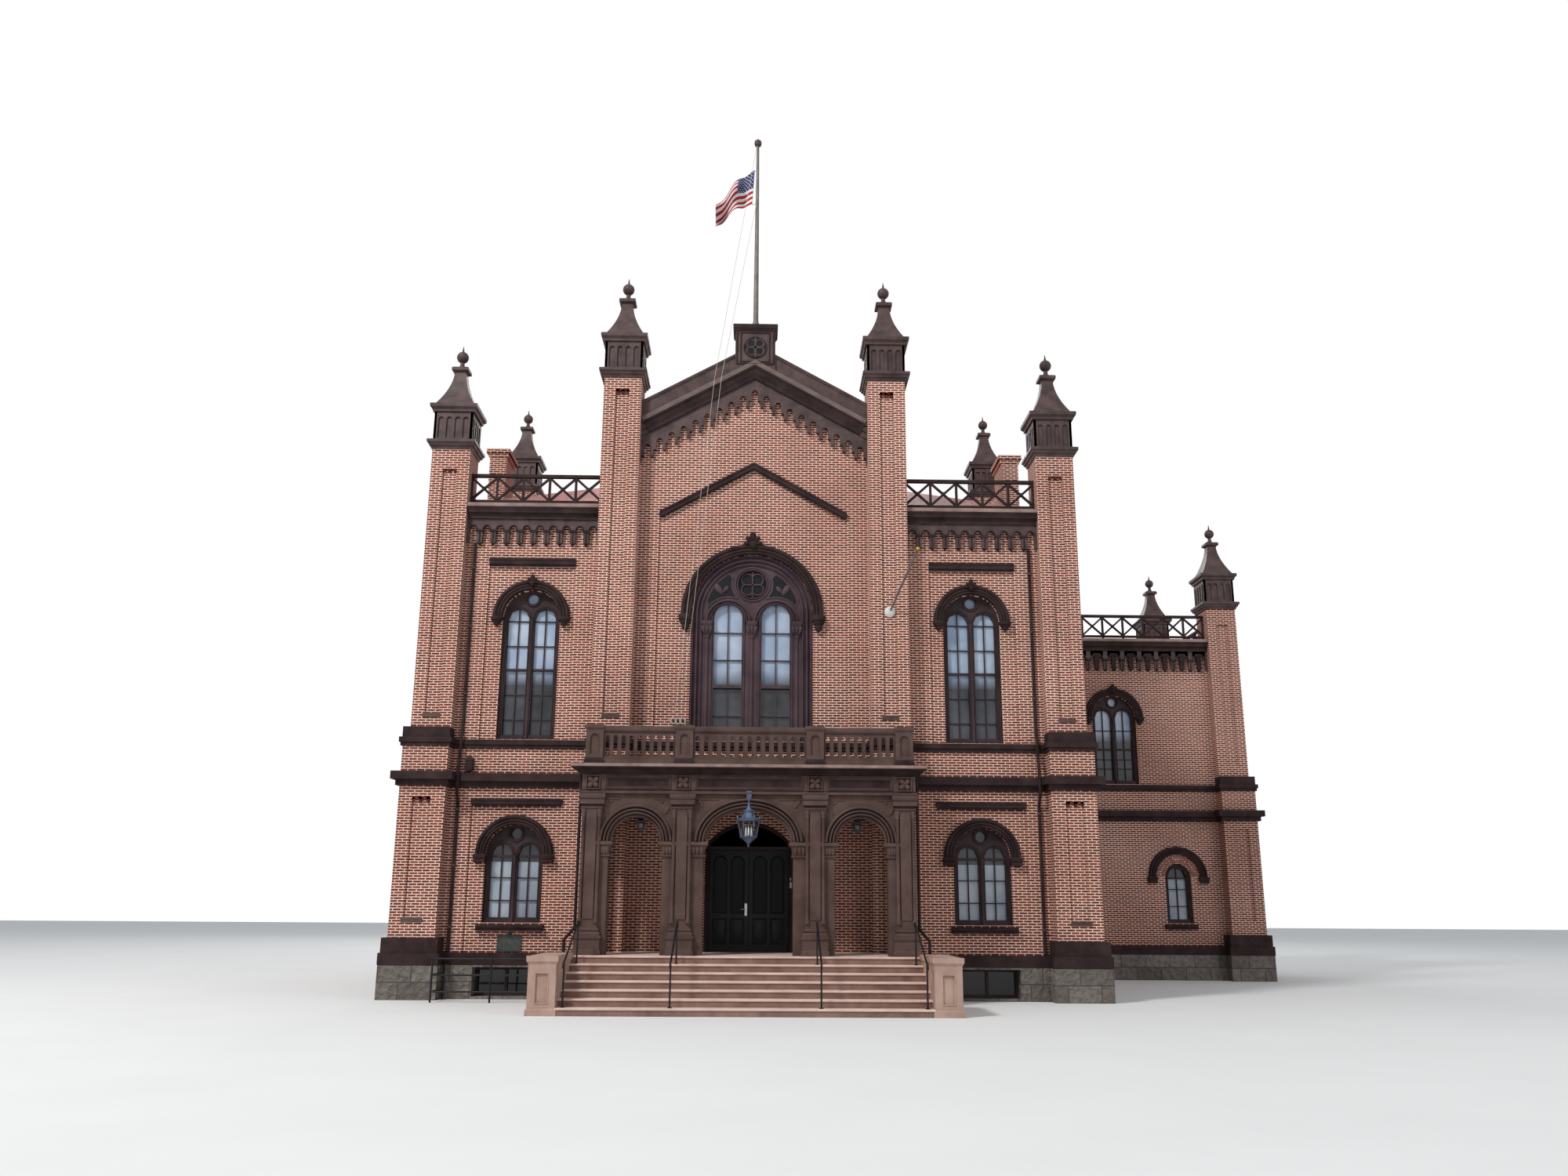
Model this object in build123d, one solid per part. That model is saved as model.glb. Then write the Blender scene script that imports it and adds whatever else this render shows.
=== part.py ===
from build123d import *
import math
import os

# Town hall, built full size. Millimetres, X to the right of the front, Y towards the back, Z up.
# The origin is at ground level, on the centre line, in the plane of the brick front wall.

os.makedirs("parts", exist_ok=True)

# Plan of the main block and the wing
BODY_HALF = 8410            # centre line to the outside of a side wall
BODY_DEPTH = 19200          # front wall to the outside of the rear wall
WALL = 450                  # thickness of a brick wall
WING_OUT = 8240             # how far the wing stands out from the side wall
WING_FRONT = 10600          # front of the wing behind the front wall
WING_DEPTH = 7600

# Turrets
TURRET = 1030               # width of a square upper shaft
TURRET_OUT = 350            # how far a corner turret stands out from the walls
TURRET_STEP = 130           # extra width of the lower shaft on its outer sides
TALL_OUT = 480              # how far a tall turret stands out from the front wall
TALL_INNER = 3125           # centre line to the inner side of a front tall turret
PANEL_SUNK = 60             # depth of the sunk panels in the shafts
LOW_PANEL = (235, 1940, 4910)       # half width, foot and top of a lower shaft's panel
HIGH_PANEL = (190, 7060)            # half width and foot of an upper shaft's panel

# Levels
STONE_TOP = 820
TABLE_TOP = 1100
PLINTH_TOP = 1460
FLOOR_TOP = 1140
FLOOR_THICK = 320
BELT_FOOT = 5190
SILL_BELT_FOOT = 6200
UPPER_FLOOR_TOP = 5900
PEDESTAL_FOOT = 6370
PEDESTAL_TOP = 6690
WALL_TOP = 12800
CORBEL_FOOT = 11731
CORNICE_FOOT = 12396
WING_DROP = 1300            # how much lower the wing's cornice lies
CORNER_SHAFT_TOP = 14300
TALL_SHAFT_TOP = 16410
WING_TURRET_DROP = 1720
CORNER_PANEL_DROP = 560     # top of a sunk panel under the top of its shaft
TALL_PANEL_DROP = 340

# Mouldings: (from, to, projection in front of the brick)
STONE_OUT = 150
TABLE_OUT = 165
PLINTH_OUT = 120
PEDESTAL_OUT = 20
BELT_STEPS = ((0, 150, 90), (150, 350, 200))
SILL_BELT_STEPS = ((0, 90, 50), (90, 220, 85))
CORNICE_STEPS = ((0, 150, 170), (150, 280, 250), (280, 404, 300))
LABEL_OUT = 70

# Gable over the centre bay
GABLE_SLOPE = 0.56
GABLE_FOOT = 12600
GABLE_WALL_APEX = 16900
RAKE_TOP = 17090
RAKE_STEP = 177             # height of each of the three steps of the raking cornice
RAKE_OUT = 250
RAKE_SHARES = (1, 0.8, 0.62)        # projection of the steps, from the top one down
GABLE_LABEL = (2560, 13956, 14128)  # half length, foot and top at the apex

# Corbel tables
CORBEL_OUT = 120
CORBEL_WIDE = 150
CORBEL_ARCH = 380           # springing of the small arches over the corbels' feet
BAY_CORBELS = 10
WING_CORBELS = 12
GABLE_CORBELS = 10          # corbels on each side of the apex
GABLE_CORBEL_PITCH = 326
GABLE_CORBEL_DROP = 640
GABLE_ARCH = 250

# Roof
ROOF_EAVES = 12850
ROOF_INSET = 110
ROOF_THICK = 250
WING_SLOPE = 0.2
CHIMNEY_IN = 110            # outer side of a chimney behind the wall's face
CHIMNEY_WIDE = 530
CHIMNEY_FRONT = 4600
CHIMNEY_DEEP = 1200
CHIMNEY_TOP = 16130
CHIMNEY_CAP = ((100, 50), (130, 100))       # height and projection of each cap course

# Arches, in chords: near ones, the large ones, and those that face away from the street
ARCH_CHORDS = 8
GREAT_CHORDS = 16
PORTICO_CHORDS = 12
LIGHT_CHORDS = 4
FAR_CHORDS = 4
FAR_LIGHT_CHORDS = 3
NOTCH_CHORDS = 3
EYE_SIDES = 8
GREAT_EYE_SIDES = 12

# Windows: half width of the masonry opening, foot and springing heights
UPPER_X = 5888
UPPER_HALF = 760
UPPER_FOOT = 6450
UPPER_SPRING = 9700
LOWER_X = 5985
LOWER_HALF = 740
LOWER_FOOT = 1825
LOWER_SPRING = 3515
UPPER_HOOD = 260
LOWER_HOOD = 245
HOOD_OUT = 110
HOOD_STOP = 245
FRAME_BACK = 120            # set back of a window frame behind the face of its wall
FRAME_DEEP = 110
FRAME_SIDE = 130
MULLION = 160
EYE_UP = 0.71               # centre and radius of the round eye, as shares of the arch's radius
EYE_SHARE = 0.2
GLASS = 12
GLASS_LIFT = 20
GLASS_REACH = (0.95, 0.92)  # radius in which a near and a far pane stay, as shares of the opening's
PANE_SHARES = ((0.72, 0.42), (0.84, 0.26))  # half widths of a pane and of its top part, for one and two lights
SILL_OUT = 150
SILL_OVER = 100             # how far a sill runs past the opening
SILL_DROPS = (40, 200)      # top and foot of a sill under the opening
GREAT_HALF = 1625
GREAT_FOOT = 6450
GREAT_SPRING = 9885
GREAT_HOOD = 280
GREAT_LIGHT = (640, 375, 6600, 9800)        # centre, half width, foot and springing of a light
GREAT_EYE = (10700, 400)
WING_UPPER_X = 12570
WING_UPPER_SPRING = 8750
WING_LOWER_X = 14440
WING_LOWER_HALF = 440
WING_LOWER_SPRING = 3340
WING_LOWER_RING = 300       # brick ring between the small light and its hood

# Sunk fields of the front bays, each under its label bar: centre, half width, foot and top
FIELD_SUNK = 50
UPPER_FIELD = (5925, 1155, 6420, 11150)
LOWER_FIELD = (5985, 1165, 1100, 4770)
CENTRE_FIELD_FOOT = 6420    # foot of the sunk field under the gable's label
UPPER_LABEL = 170
LOWER_LABEL = 140

# Basement windows in the stone base
BASEMENT = (6050, 780, 60, 760)     # centre, half width, foot and top
BASEMENT_BACK = 250
BASEMENT_BAR = 70

# Portico
PORTICO_HALF = 3950
PORTICO_FRONT = 2450
PORTICO_WALL = 400
ARCH_SPRING = 3730
CENTRE_ARCH_HALF = 1062
CENTRE_ARCH_RISE = 800
SIDE_ARCH_X = 2676
SIDE_ARCH_HALF = 638
END_ARCH_HALF = 450
ARCADE_TOP = 4840
ARCH_BAND = 200
ARCH_OUT = 60
IMPOST_HIGH = 360
IMPOST_OUT = 40             # extra projection of an impost block
PILASTER_X = (3726, 1580)
PILASTER_WIDE = 460
PILASTER_OUT = 80
PILASTER_BASE_TOP = 1580
CAPITAL_FOOT = 4600
CAPITAL_TOP = 4800
CAPITAL_OUT = 60
PEDESTAL_WIDE = 600
FRIEZE_OUT = 60
FRIEZE_SIDE = 40
FRIEZE_WALL = 440
PORTICO_CORNICE_FOOT = 5360
PORTICO_CORNICE_STEP = 90
PORTICO_CORNICE_OUT = 290
PARAPET_TOP = 6470
PARAPET_RAIL = 140
PARAPET_BASE = 160
PARAPET_WIDE = 180
PARAPET_PANEL = 100         # thickness of the slotted panels
PARAPET_SETBACK = 20        # front of the parapet before the arcade's face
PARAPET_POSTS = (3740, 1580)
PARAPET_POST = 420
POST_OUT = 20
POST_CAP = 30
SLOT_PITCH = 214
END_SLOT_PITCH = 430        # on the parapet's two ends
SLOT_SHARE = 0.3            # half width of a slot as a share of the pitch
SLOT_MARGIN = 60
FLOOR_OVER = 260            # portico floor past the end walls

# Steps in front of the portico
RISERS = 7
TREAD = 380
LANDING_OUT = 500           # landing in front of the arcade
STEPS_HALF = 3990
CHEEK_WIDE = 630
CHEEK_TOP = 1210
CHEEK_CAP = 110
CHEEK_LIP = 40
CHEEK_PANEL = (130, 260, 860)       # half width, foot and top of the sunk panel
CHEEK_SUNK = 30

# Handrails beside the steps, and the pipe rail round the area on the left
RAIL_X = (1600, 3850)
RAIL_HIGH = 900
RAIL_BAR = 40
RAIL_BACK = 190             # upper post before the landing's edge
RAIL_REACH = 150
AREA_LEFT = -7500
AREA_FRONT = -1450
AREA_BACK = -250
AREA_POST = -6100
AREA_BAR = 48
AREA_RAILS = (250, 630, 1000)

# Lanterns: (height, radius) pairs, up from the tip
LANTERN_Y = -2900
LANTERN = ((3590, 8), (3670, 50), (3820, 200), (4200, 265), (4420, 100), (4485, 60), (4610, 20))
LANTERN_PLATE = (60, 4740, 4930)
LANTERN_ROD = 30
SMALL_LANTERN = ((4050, 30), (4110, 90), (4290, 120), (4370, 25))

# Entrance doorway and its doors
DOOR_HALF = 1120
DOOR_SPRING = 3750
DOOR_RISE = 620
DOOR_JAMB = 100
DOOR_FRAME_BACK = 100
DOOR_FRAME_DEEP = 120
LEAF_THICK = 55
LEAF_TOP = 3655
LEAF_GAP = 6
LEAF_MEET = 5               # half of the gap between the two leaves
LEAF_LIFT = 10              # gap under a leaf
LEAF_STILE = 120
LEAF_SUNK = 18
LEAF_LIGHT = (950, 150)     # foot of an upper panel over the leaf's foot, and its head under the top
LEAF_PANEL = (200, 800)     # foot and top of a lower panel over the leaf's foot
TRANSOM_FOOT = 3661
HINGE_R = 9
HINGE_HIGH = 110
HINGE_PLATE = 5
HINGE_REACH = 50
HINGE_SHARES = (0.08, 0.5, 0.92)
LEVER_Z = 2180
LEVER_ROSE = (25, 90, 12)   # half width, half height and projection
LEVER_BAR = (130, 20, 45)   # length, width and projection

# Spires: (from, to, projection) over the shaft's top, then (height, width or radius)
SPIRE_FLANGE = ((0, 85, 60), (85, 170, 100), (170, 250, 140))
SPIRE_BOX_OUT = 10
SPIRE_EAVES = ((1085, 1170, 60), (1170, 1300, 130))
SPIRE_ROOF = ((1300, 1090), (1600, 700), (2000, 450), (2440, 310))
SPIRE_CAP = (2440, 2580, 464)
SPIRE_BALL = ((2580, 75), (2780, 75), (2850, 165), (2990, 165), (3070, 40), (3270, 6))
BALL_SIDES = 6
NICHES = 4                  # blind arches on each side of a near spire's box
NICHE = (60, 330, 850, 0.34)        # margin, foot, springing and half width as a share of the pitch
NICHE_SUNK = 40
FAR_PANEL = (380, 330, 960)         # half width, foot and top of a far box's plain panel

# Apex block and poles
APEX_HALF = 560
APEX_TOP = 18170
APEX_CAP = 120
APEX_LIP = 60
POLE = ((18170, 75), (24100, 38))
POLE_BALL = ((24100, 40), (24160, 108), (24240, 108), (24310, 30))
POLE_SIDES = 8
FLAG = ((-90, 23310), (-550, 22950), (-920, 22300), (-1200, 21650), (-1250, 21350), (-1020, 21030), (-700, 21450),
        (-200, 22130))      # outline of the drooping flag, from the top of its hoist round its fly
FLAG_THICK = 16
FLAG_TIES = ((23230, 130), (22180, 210))    # height of each tie to the pole, and how far it reaches from the axis
FLAG_TIE = 24
STAFF_FOOT = (3650, 9847)   # wall staff on the right tall turret
STAFF_TIP = (4230, -1980, 11148)
STAFF_R = (40, 26)
STAFF_BALL = 60
STAFF_SOCKET = (145, 70)

# Railings on the roof edge
RAILING_LIFT = 105          # feet under the railing
RAILING_HIGH = 810
RAILING_DEEP = 60
RAILING_FOOT = (70, 100)    # height and depth of the foot rail
RAILING_TOP = (120, 120)
RAILING_BAR = 70
RAILING_BAYS = 5            # crossed bays of each front railing
RAILING_FEET = (0.02, 0.5, 0.98)
FAR_BAY = 5                 # far railings have bays this much wider
WING_BAY = 2                # the same for the wing's front railing

# Rain pipes: (distance before the wall, height) along each run
PIPE_R = 40
PIPE_SIDES = 6
PIPE_IN = 245               # beside the corner turret
WALL_PIPE = ((60, CORBEL_FOOT), (60, 6650), (150, 6450), (150, 6150), (265, 5700), (265, 5100), (60, 4800),
             (60, TABLE_TOP + 5))
PIPE_CLIPS = (2200, 7600, 11400)
PORTICO_PIPE = ((95, 5300), (95, 1750), (330, 1480), (330, 30))
PORTICO_PIPE_Y = -2300      # along the portico's end wall
PORTICO_CLIPS = (4500,)

CLEAR = 0.3                 # gap between seated curved or separate pieces
PAST = 1                    # how far a cutting tool runs past the face that it cuts


def block(x0, x1, y0, y1, z0, z1):
    """Box between two opposite corners."""
    centre = Pos((x0 + x1) / 2, (y0 + y1) / 2, (z0 + z1) / 2)
    return centre * Box(abs(x1 - x0), abs(y1 - y0), abs(z1 - z0))


def both(shape):
    """A shape and its mirror image across the centre line."""
    return [shape, mirror(shape, about=Plane.YZ)]


def joined(shapes):
    """One solid from overlapping or touching shapes."""
    first, *rest = shapes
    return first.fuse(*rest) if rest else first


def plan(rectangles):
    """One flat outline joined from rectangles (x0, x1, y0, y1)."""
    outline = Sketch()
    for x0, x1, y0, y1 in rectangles:
        outline += Pos((x0 + x1) / 2, (y0 + y1) / 2) * Rectangle(x1 - x0, y1 - y0)
    return outline


def rise(outline, z0, z1):
    """Straight extrusion of a flat outline between two heights."""
    return Pos(0, 0, z0) * extrude(outline, amount=z1 - z0)


def grown(outline, amount):
    """Outline moved outwards, with square corners."""
    return offset(outline, amount=amount, kind=Kind.INTERSECTION)


def front_face(points):
    """Flat face from (x, z) points, in the plane of the front wall."""
    return make_face(Plane.XZ * Polyline(*points, close=True))


def side_face(points):
    """Flat face from (y, z) points, in the plane of the centre line."""
    return make_face(Plane.YZ * Polyline(*points, close=True))


def deep(face, y0, y1):
    """A front face carried back from y0 to y1."""
    return Pos(0, y0, 0) * extrude(face, amount=y1 - y0, dir=(0, 1, 0))


def wide(face, x0, x1):
    """A side face carried from x0 to x1."""
    return Pos(x0, 0, 0) * extrude(face, amount=x1 - x0, dir=(1, 0, 0))


def arch_points(x, half, spring, top, chords):
    """Points on a circular arch, from its right springing over the crown to its left one."""
    radius = (half ** 2 + top ** 2) / (2 * top)
    reach = math.asin(min(1, half / radius))
    points = []
    for step in range(chords + 1):
        angle = reach * (1 - 2 * step / chords)
        points.append((x + radius * math.sin(angle), spring + top + radius * (math.cos(angle) - 1)))
    return points


def arched_face(x, half, foot, spring, top, chords):
    """Face with straight sides and an arched head."""
    return front_face([(x - half, foot), (x + half, foot)] + arch_points(x, half, spring, top, chords))


def ringed(rings):
    """Solid with flat sides between rings of points, closed at both ends."""
    faces = [Face(Wire.make_polygon(rings[0])), Face(Wire.make_polygon(rings[-1]))]
    for low, high in zip(rings, rings[1:]):
        for index, point in enumerate(low):
            after = (index + 1) % len(low)
            faces.append(Face(Wire.make_polygon([point, low[after], high[after], high[index]])))
    return Solid(Shell(faces))


def polygon(radius, sides, turn=0):
    """Corners of a regular polygon round the origin."""
    angles = [math.radians(turn + 360 * index / sides) for index in range(sides)]
    return [(radius * math.cos(angle), radius * math.sin(angle)) for angle in angles]


def stacked(sections, sides, x=0, y=0, turn=0):
    """Turned shape from (height, radius) pairs, in few flat sides."""
    return ringed([[Vector(x + u, y + v, z) for u, v in polygon(radius, sides, turn)] for z, radius in sections])


def write(name, shapes):
    """Writes one node."""
    solids = []
    for shape in shapes if isinstance(shapes, (list, tuple)) else [shapes]:
        solids.extend(shape.solids())
    export_step(solids[0] if len(solids) == 1 else Compound(children=solids), f"parts/{name}.step")


# Outlines


def turret_spots(step):
    """Plan rectangles of all turrets, with their outer sides moved out by step."""
    out = BODY_HALF + TURRET_OUT
    inner = out - TURRET
    back = BODY_DEPTH + TURRET_OUT
    wing_x = BODY_HALF + WING_OUT + TURRET_OUT
    wing_front = WING_FRONT - TURRET_OUT
    wing_back = WING_FRONT + WING_DEPTH + TURRET_OUT
    spots = {
        "front_corner": [],
        "tall": [],
        "side": [],
        "rear": [],
        "wing": [
            (wing_x - TURRET, wing_x + step, wing_front - step, wing_front + TURRET),
            (wing_x - TURRET, wing_x + step, wing_back - TURRET, wing_back + step),
        ],
    }
    for side in (-1, 1):
        edges = sorted((side * inner, side * (out + step)))
        spots["front_corner"].append((*edges, -TURRET_OUT - step, TURRET - TURRET_OUT))
        spots["side"].append((*edges, WING_FRONT - TURRET, WING_FRONT))
        spots["rear"].append((*edges, back - TURRET, back + step))
        tall = sorted((side * TALL_INNER, side * (TALL_INNER + TURRET)))
        spots["tall"].append((*tall, -TALL_OUT, TURRET - TALL_OUT))
    return spots


def all_spots(spots):
    """Every turret rectangle in one list."""
    return [rect for group in spots.values() for rect in group]


INNER = BODY_HALF + TURRET_OUT - TURRET         # centre line to the inner side of a corner turret
TALL_EDGE = TALL_INNER + TURRET
WING_EDGE = BODY_HALF + WING_OUT
WING_BACK = WING_FRONT + WING_DEPTH
MAIN_RECT = (-BODY_HALF, BODY_HALF, 0, BODY_DEPTH)
WING_RECT = (BODY_HALF, WING_EDGE, WING_FRONT, WING_BACK)
LOW = turret_spots(TURRET_STEP)
HIGH = turret_spots(0)
PLAN_LOW = plan([MAIN_RECT, WING_RECT] + all_spots(LOW))
PLAN_HIGH = plan([MAIN_RECT, WING_RECT] + all_spots(HIGH))
TURRETS_LOW = plan(all_spots(LOW))
TURRETS_HIGH = plan(all_spots(HIGH))
ABOVE = TALL_SHAFT_TOP + 4000                   # over everything that is cut
PORTICO_WIDE = 4800                             # past the portico's steps and cornice
PORTICO_ZONE = block(-PORTICO_WIDE, PORTICO_WIDE, -6000, -TALL_OUT, 0, PEDESTAL_TOP) + block(
    -TALL_INNER, TALL_INNER, -TALL_OUT, 0, 0, SILL_BELT_FOOT)
INSIDE = plan([
    (-BODY_HALF + WALL, BODY_HALF - WALL, WALL, BODY_DEPTH - WALL),
    (BODY_HALF, WING_EDGE - WALL, WING_FRONT + WALL, WING_BACK - WALL),
])
SIDE_BAYS = ((TURRET - TURRET_OUT, WING_FRONT - TURRET), (WING_FRONT, BODY_DEPTH + TURRET_OUT - TURRET))


def band(outline, z0, steps):
    """Moulding round an outline: each step is (from, to, projection)."""
    rings = [rise(grown(outline, out), z0 + low, z0 + high) for low, high, out in steps]
    top = max(high for low, high, out in steps)
    return joined(rings) - rise(outline, z0, z0 + top)


# Windows. Each is made against a wall whose outside is the plane y = 0, then put in its place.


def window_opening(half, foot, spring, chords):
    """What is cut out of the wall."""
    return deep(arched_face(0, half, foot, spring, half, chords), -PAST, WALL + PAST)


def window_hood(half, spring, broad, back, chords):
    """Arched hood with straight stops, proud of the wall."""
    foot = spring - HOOD_STOP
    outer = arched_face(0, half + broad, foot, spring, half + broad, chords)
    inner = arched_face(0, half, foot, spring, half, chords)
    return deep(outer - inner, -HOOD_OUT - back, 0)


def window_frame(half, foot, spring, lights, near):
    """Timber frame with its lights, and in a near window the round eye between them."""
    chords = ARCH_CHORDS if near else FAR_CHORDS
    outline = arched_face(0, half - CLEAR, foot, spring, half - CLEAR, chords)
    light = half - FRAME_SIDE
    head = LIGHT_CHORDS if near else FAR_LIGHT_CHORDS
    centres = (0,)
    if lights == 2:
        light = (half - FRAME_SIDE - MULLION / 2) / 2
        centres = (-MULLION / 2 - light, MULLION / 2 + light)
        if near:
            outline -= Plane.XZ * (Pos(0, spring + half * EYE_UP) * RegularPolygon(half * EYE_SHARE, EYE_SIDES))
    for centre in centres:
        outline -= arched_face(centre, light, foot + FRAME_SIDE, spring, light, head)
    return deep(outline, FRAME_BACK, FRAME_BACK + FRAME_DEEP)


def window_glass(half, foot, spring, lights=2, near=True):
    """One pane behind the frame, inside the opening."""
    reach = half * GLASS_REACH[0 if near else 1]
    side, crown = (half * share for share in PANE_SHARES[lights - 1])
    top = spring + math.sqrt(reach ** 2 - side ** 2)
    y0 = FRAME_BACK + FRAME_DEEP
    pane = block(-side, side, y0, y0 + GLASS, foot + GLASS_LIFT, top)
    if near or lights == 1:
        pane += block(-crown, crown, y0, y0 + GLASS, top - PAST, spring + math.sqrt(reach ** 2 - crown ** 2))
    return pane


def window_sill(half, foot, back):
    """Stone sill under a lower window."""
    top, bottom = (foot - drop for drop in SILL_DROPS)
    return block(-half - SILL_OVER, half + SILL_OVER, -SILL_OUT - back, 0, bottom, top)


STOREYS = {
    "upper": (UPPER_HALF, UPPER_FOOT, UPPER_SPRING, UPPER_HOOD, 0, 2),
    "lower": (LOWER_HALF, LOWER_FOOT, LOWER_SPRING, LOWER_HOOD, 0, 2),
    "wing_upper": (UPPER_HALF, UPPER_FOOT, WING_UPPER_SPRING, UPPER_HOOD, 0, 2),
    "wing_lower": (WING_LOWER_HALF, LOWER_FOOT, WING_LOWER_SPRING, UPPER_HOOD, WING_LOWER_RING, 1),
}


def place_left(y):
    """Moves a window into the left side wall."""
    return Pos(-BODY_HALF, y, 0) * Rot(0, 0, -90)


def place_right(y, x=BODY_HALF):
    """Moves a window into a right side wall."""
    return Pos(x, y, 0) * Rot(0, 0, 90)


def place_rear(x, y=BODY_DEPTH):
    """Moves a window into a rear wall."""
    return Pos(x, y, 0) * Rot(0, 0, 180)


def window_places():
    """(wall, place, storey, set back, near) of every window apart from the great one."""
    spots = []
    for side, wall in ((-1, "front_left"), (1, "front_right")):
        spots.append((wall, Pos(side * UPPER_X, FIELD_SUNK, 0), "upper", FIELD_SUNK, True))
        spots.append((wall, Pos(side * LOWER_X, FIELD_SUNK, 0), "lower", FIELD_SUNK, True))
    for storey in ("upper", "lower"):
        for y0, y1 in SIDE_BAYS:
            spots.append(("left", place_left((y0 + y1) / 2), storey, 0, False))
        y0, y1 = SIDE_BAYS[0]
        spots.append(("right", place_right((y0 + y1) / 2), storey, 0, False))
        for x in (-BODY_HALF / 2, BODY_HALF / 2):
            spots.append(("rear", place_rear(x), storey, 0, False))
    wing_mid = WING_FRONT + WING_DEPTH / 2
    spots.append(("wing_front", Pos(WING_UPPER_X, WING_FRONT, 0), "wing_upper", 0, True))
    spots.append(("wing_front", Pos(WING_LOWER_X, WING_FRONT, 0), "wing_lower", 0, True))
    spots.append(("wing_side", place_right(wing_mid, WING_EDGE), "wing_upper", 0, False))
    spots.append(("wing_side", place_right(wing_mid, WING_EDGE), "wing_lower", 0, False))
    spots.append(("wing_rear", place_rear(WING_UPPER_X, WING_BACK), "wing_upper", 0, False))
    return spots


def make_windows():
    """Cutters by wall, frames, hoods, sills and panes."""
    cutters = {}
    upper, lower, hoods, panes = [], [], [], []
    for wall, place, storey, back, near in window_places():
        half, foot, spring, hood, ring, lights = STOREYS[storey]
        chords = ARCH_CHORDS if near else FAR_CHORDS
        cutters.setdefault(wall, []).append(place * window_opening(half, foot, spring, chords))
        frames = upper if "upper" in storey else lower
        frames.append(place * window_frame(half, foot, spring, lights, near))
        panes.append(place * window_glass(half, foot, spring, lights, near))
        hoods.append(place * window_hood(half + ring, spring, hood, back, chords))
        if "lower" in storey:
            hoods.append(place * window_sill(half, foot, back))
    return cutters, upper, lower, hoods, panes


def great_frame():
    """Frame of the great window: two lights and a round eye."""
    half = GREAT_HALF - CLEAR
    outline = arched_face(0, half, GREAT_FOOT, GREAT_SPRING, half, GREAT_CHORDS)
    x, light, foot, spring = GREAT_LIGHT
    for side in (-1, 1):
        outline -= arched_face(side * x, light, foot, spring, light, ARCH_CHORDS)
    z, radius = GREAT_EYE
    outline -= Plane.XZ * (Pos(0, z) * RegularPolygon(radius, GREAT_EYE_SIDES))
    return deep(outline, FRAME_BACK, FRAME_BACK + FRAME_DEEP)


def basement_hole():
    """Opening in the stone base under the left bay's window."""
    x, half, foot, top = BASEMENT
    return block(-x - half, -x + half, -STONE_OUT - PAST, WALL + PAST, foot, top)


def basement_frame():
    """Timber frame with two lights in the left basement opening."""
    x, half, foot, top = BASEMENT
    bar = BASEMENT_BAR
    frame = block(-x - half + CLEAR, -x + half - CLEAR, BASEMENT_BACK, BASEMENT_BACK + bar, foot, top - CLEAR)
    light = half - 1.5 * bar
    for middle in (-x - (light + bar) / 2, -x + (light + bar) / 2):
        frame -= block(middle - light / 2, middle + light / 2, 0, WALL, foot + bar, top - bar)
    return frame


def basement_pane():
    """Pane behind the left basement frame."""
    x, half, foot, top = BASEMENT
    y0 = BASEMENT_BACK + BASEMENT_BAR
    return block(-x - half + GLASS_LIFT, -x + half - GLASS_LIFT, y0, y0 + GLASS, foot + GLASS_LIFT, top - GLASS_LIFT)


# Walls


def make_walls(cutters):
    """Every brick wall, each between its turrets and with its windows cut."""
    turrets = rise(TURRETS_HIGH, 0, WALL_TOP) + rise(TURRETS_LOW, 0, PEDESTAL_FOOT)
    wing_top = WALL_TOP - WING_DROP
    slabs = {
        "front_left": block(-BODY_HALF, -TALL_EDGE, 0, WALL, STONE_TOP, WALL_TOP),
        "front_right": block(TALL_EDGE, BODY_HALF, 0, WALL, STONE_TOP, WALL_TOP),
        "left": block(-BODY_HALF, -BODY_HALF + WALL, WALL, BODY_DEPTH - WALL, STONE_TOP, WALL_TOP),
        "right": block(BODY_HALF - WALL, BODY_HALF, WALL, BODY_DEPTH - WALL, STONE_TOP, WALL_TOP),
        "rear": block(-BODY_HALF, BODY_HALF, BODY_DEPTH - WALL, BODY_DEPTH, STONE_TOP, WALL_TOP),
        "wing_front": block(BODY_HALF, WING_EDGE, WING_FRONT, WING_FRONT + WALL, STONE_TOP, wing_top),
        "wing_side": block(WING_EDGE - WALL, WING_EDGE, WING_FRONT + WALL, WING_BACK - WALL, STONE_TOP, wing_top),
        "wing_rear": block(BODY_HALF, WING_EDGE, WING_BACK - WALL, WING_BACK, STONE_TOP, wing_top),
    }
    walls = {}
    for name, slab in slabs.items():
        slab -= turrets
        for cutter in cutters.get(name, []):
            slab -= cutter
        walls[name] = slab
    for side, name in ((-1, "front_left"), (1, "front_right")):
        for x, half, foot, top in (UPPER_FIELD, LOWER_FIELD):
            walls[name] -= block(side * x - half, side * x + half, -PAST, FIELD_SUNK, foot, top)
    return walls


def door_opening():
    """The doorway with its arched head."""
    face = arched_face(0, DOOR_HALF, FLOOR_TOP, DOOR_SPRING, DOOR_RISE, PORTICO_CHORDS)
    return deep(face, -PAST, WALL + PAST)


def centre_field():
    """Shallow field cut into the brick of the centre bay, up to the gable's label."""
    half, top, _ = GABLE_LABEL
    line = gable_line(top, half)
    return deep(front_face([(-half, CENTRE_FIELD_FOOT)] + line + [(half, CENTRE_FIELD_FOOT)]), -PAST, FIELD_SUNK)


def centre_walls():
    """The wall between the tall turrets: the left side of the doorway, and the wall above it."""
    side = block(-TALL_INNER, -DOOR_HALF, 0, WALL, FLOOR_TOP, DOOR_SPRING)
    over = block(-TALL_INNER, TALL_INNER, 0, WALL, DOOR_SPRING, GABLE_FOOT) - door_opening()
    return side, over - window_opening(GREAT_HALF, GREAT_FOOT, GREAT_SPRING, GREAT_CHORDS) - centre_field()


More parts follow.
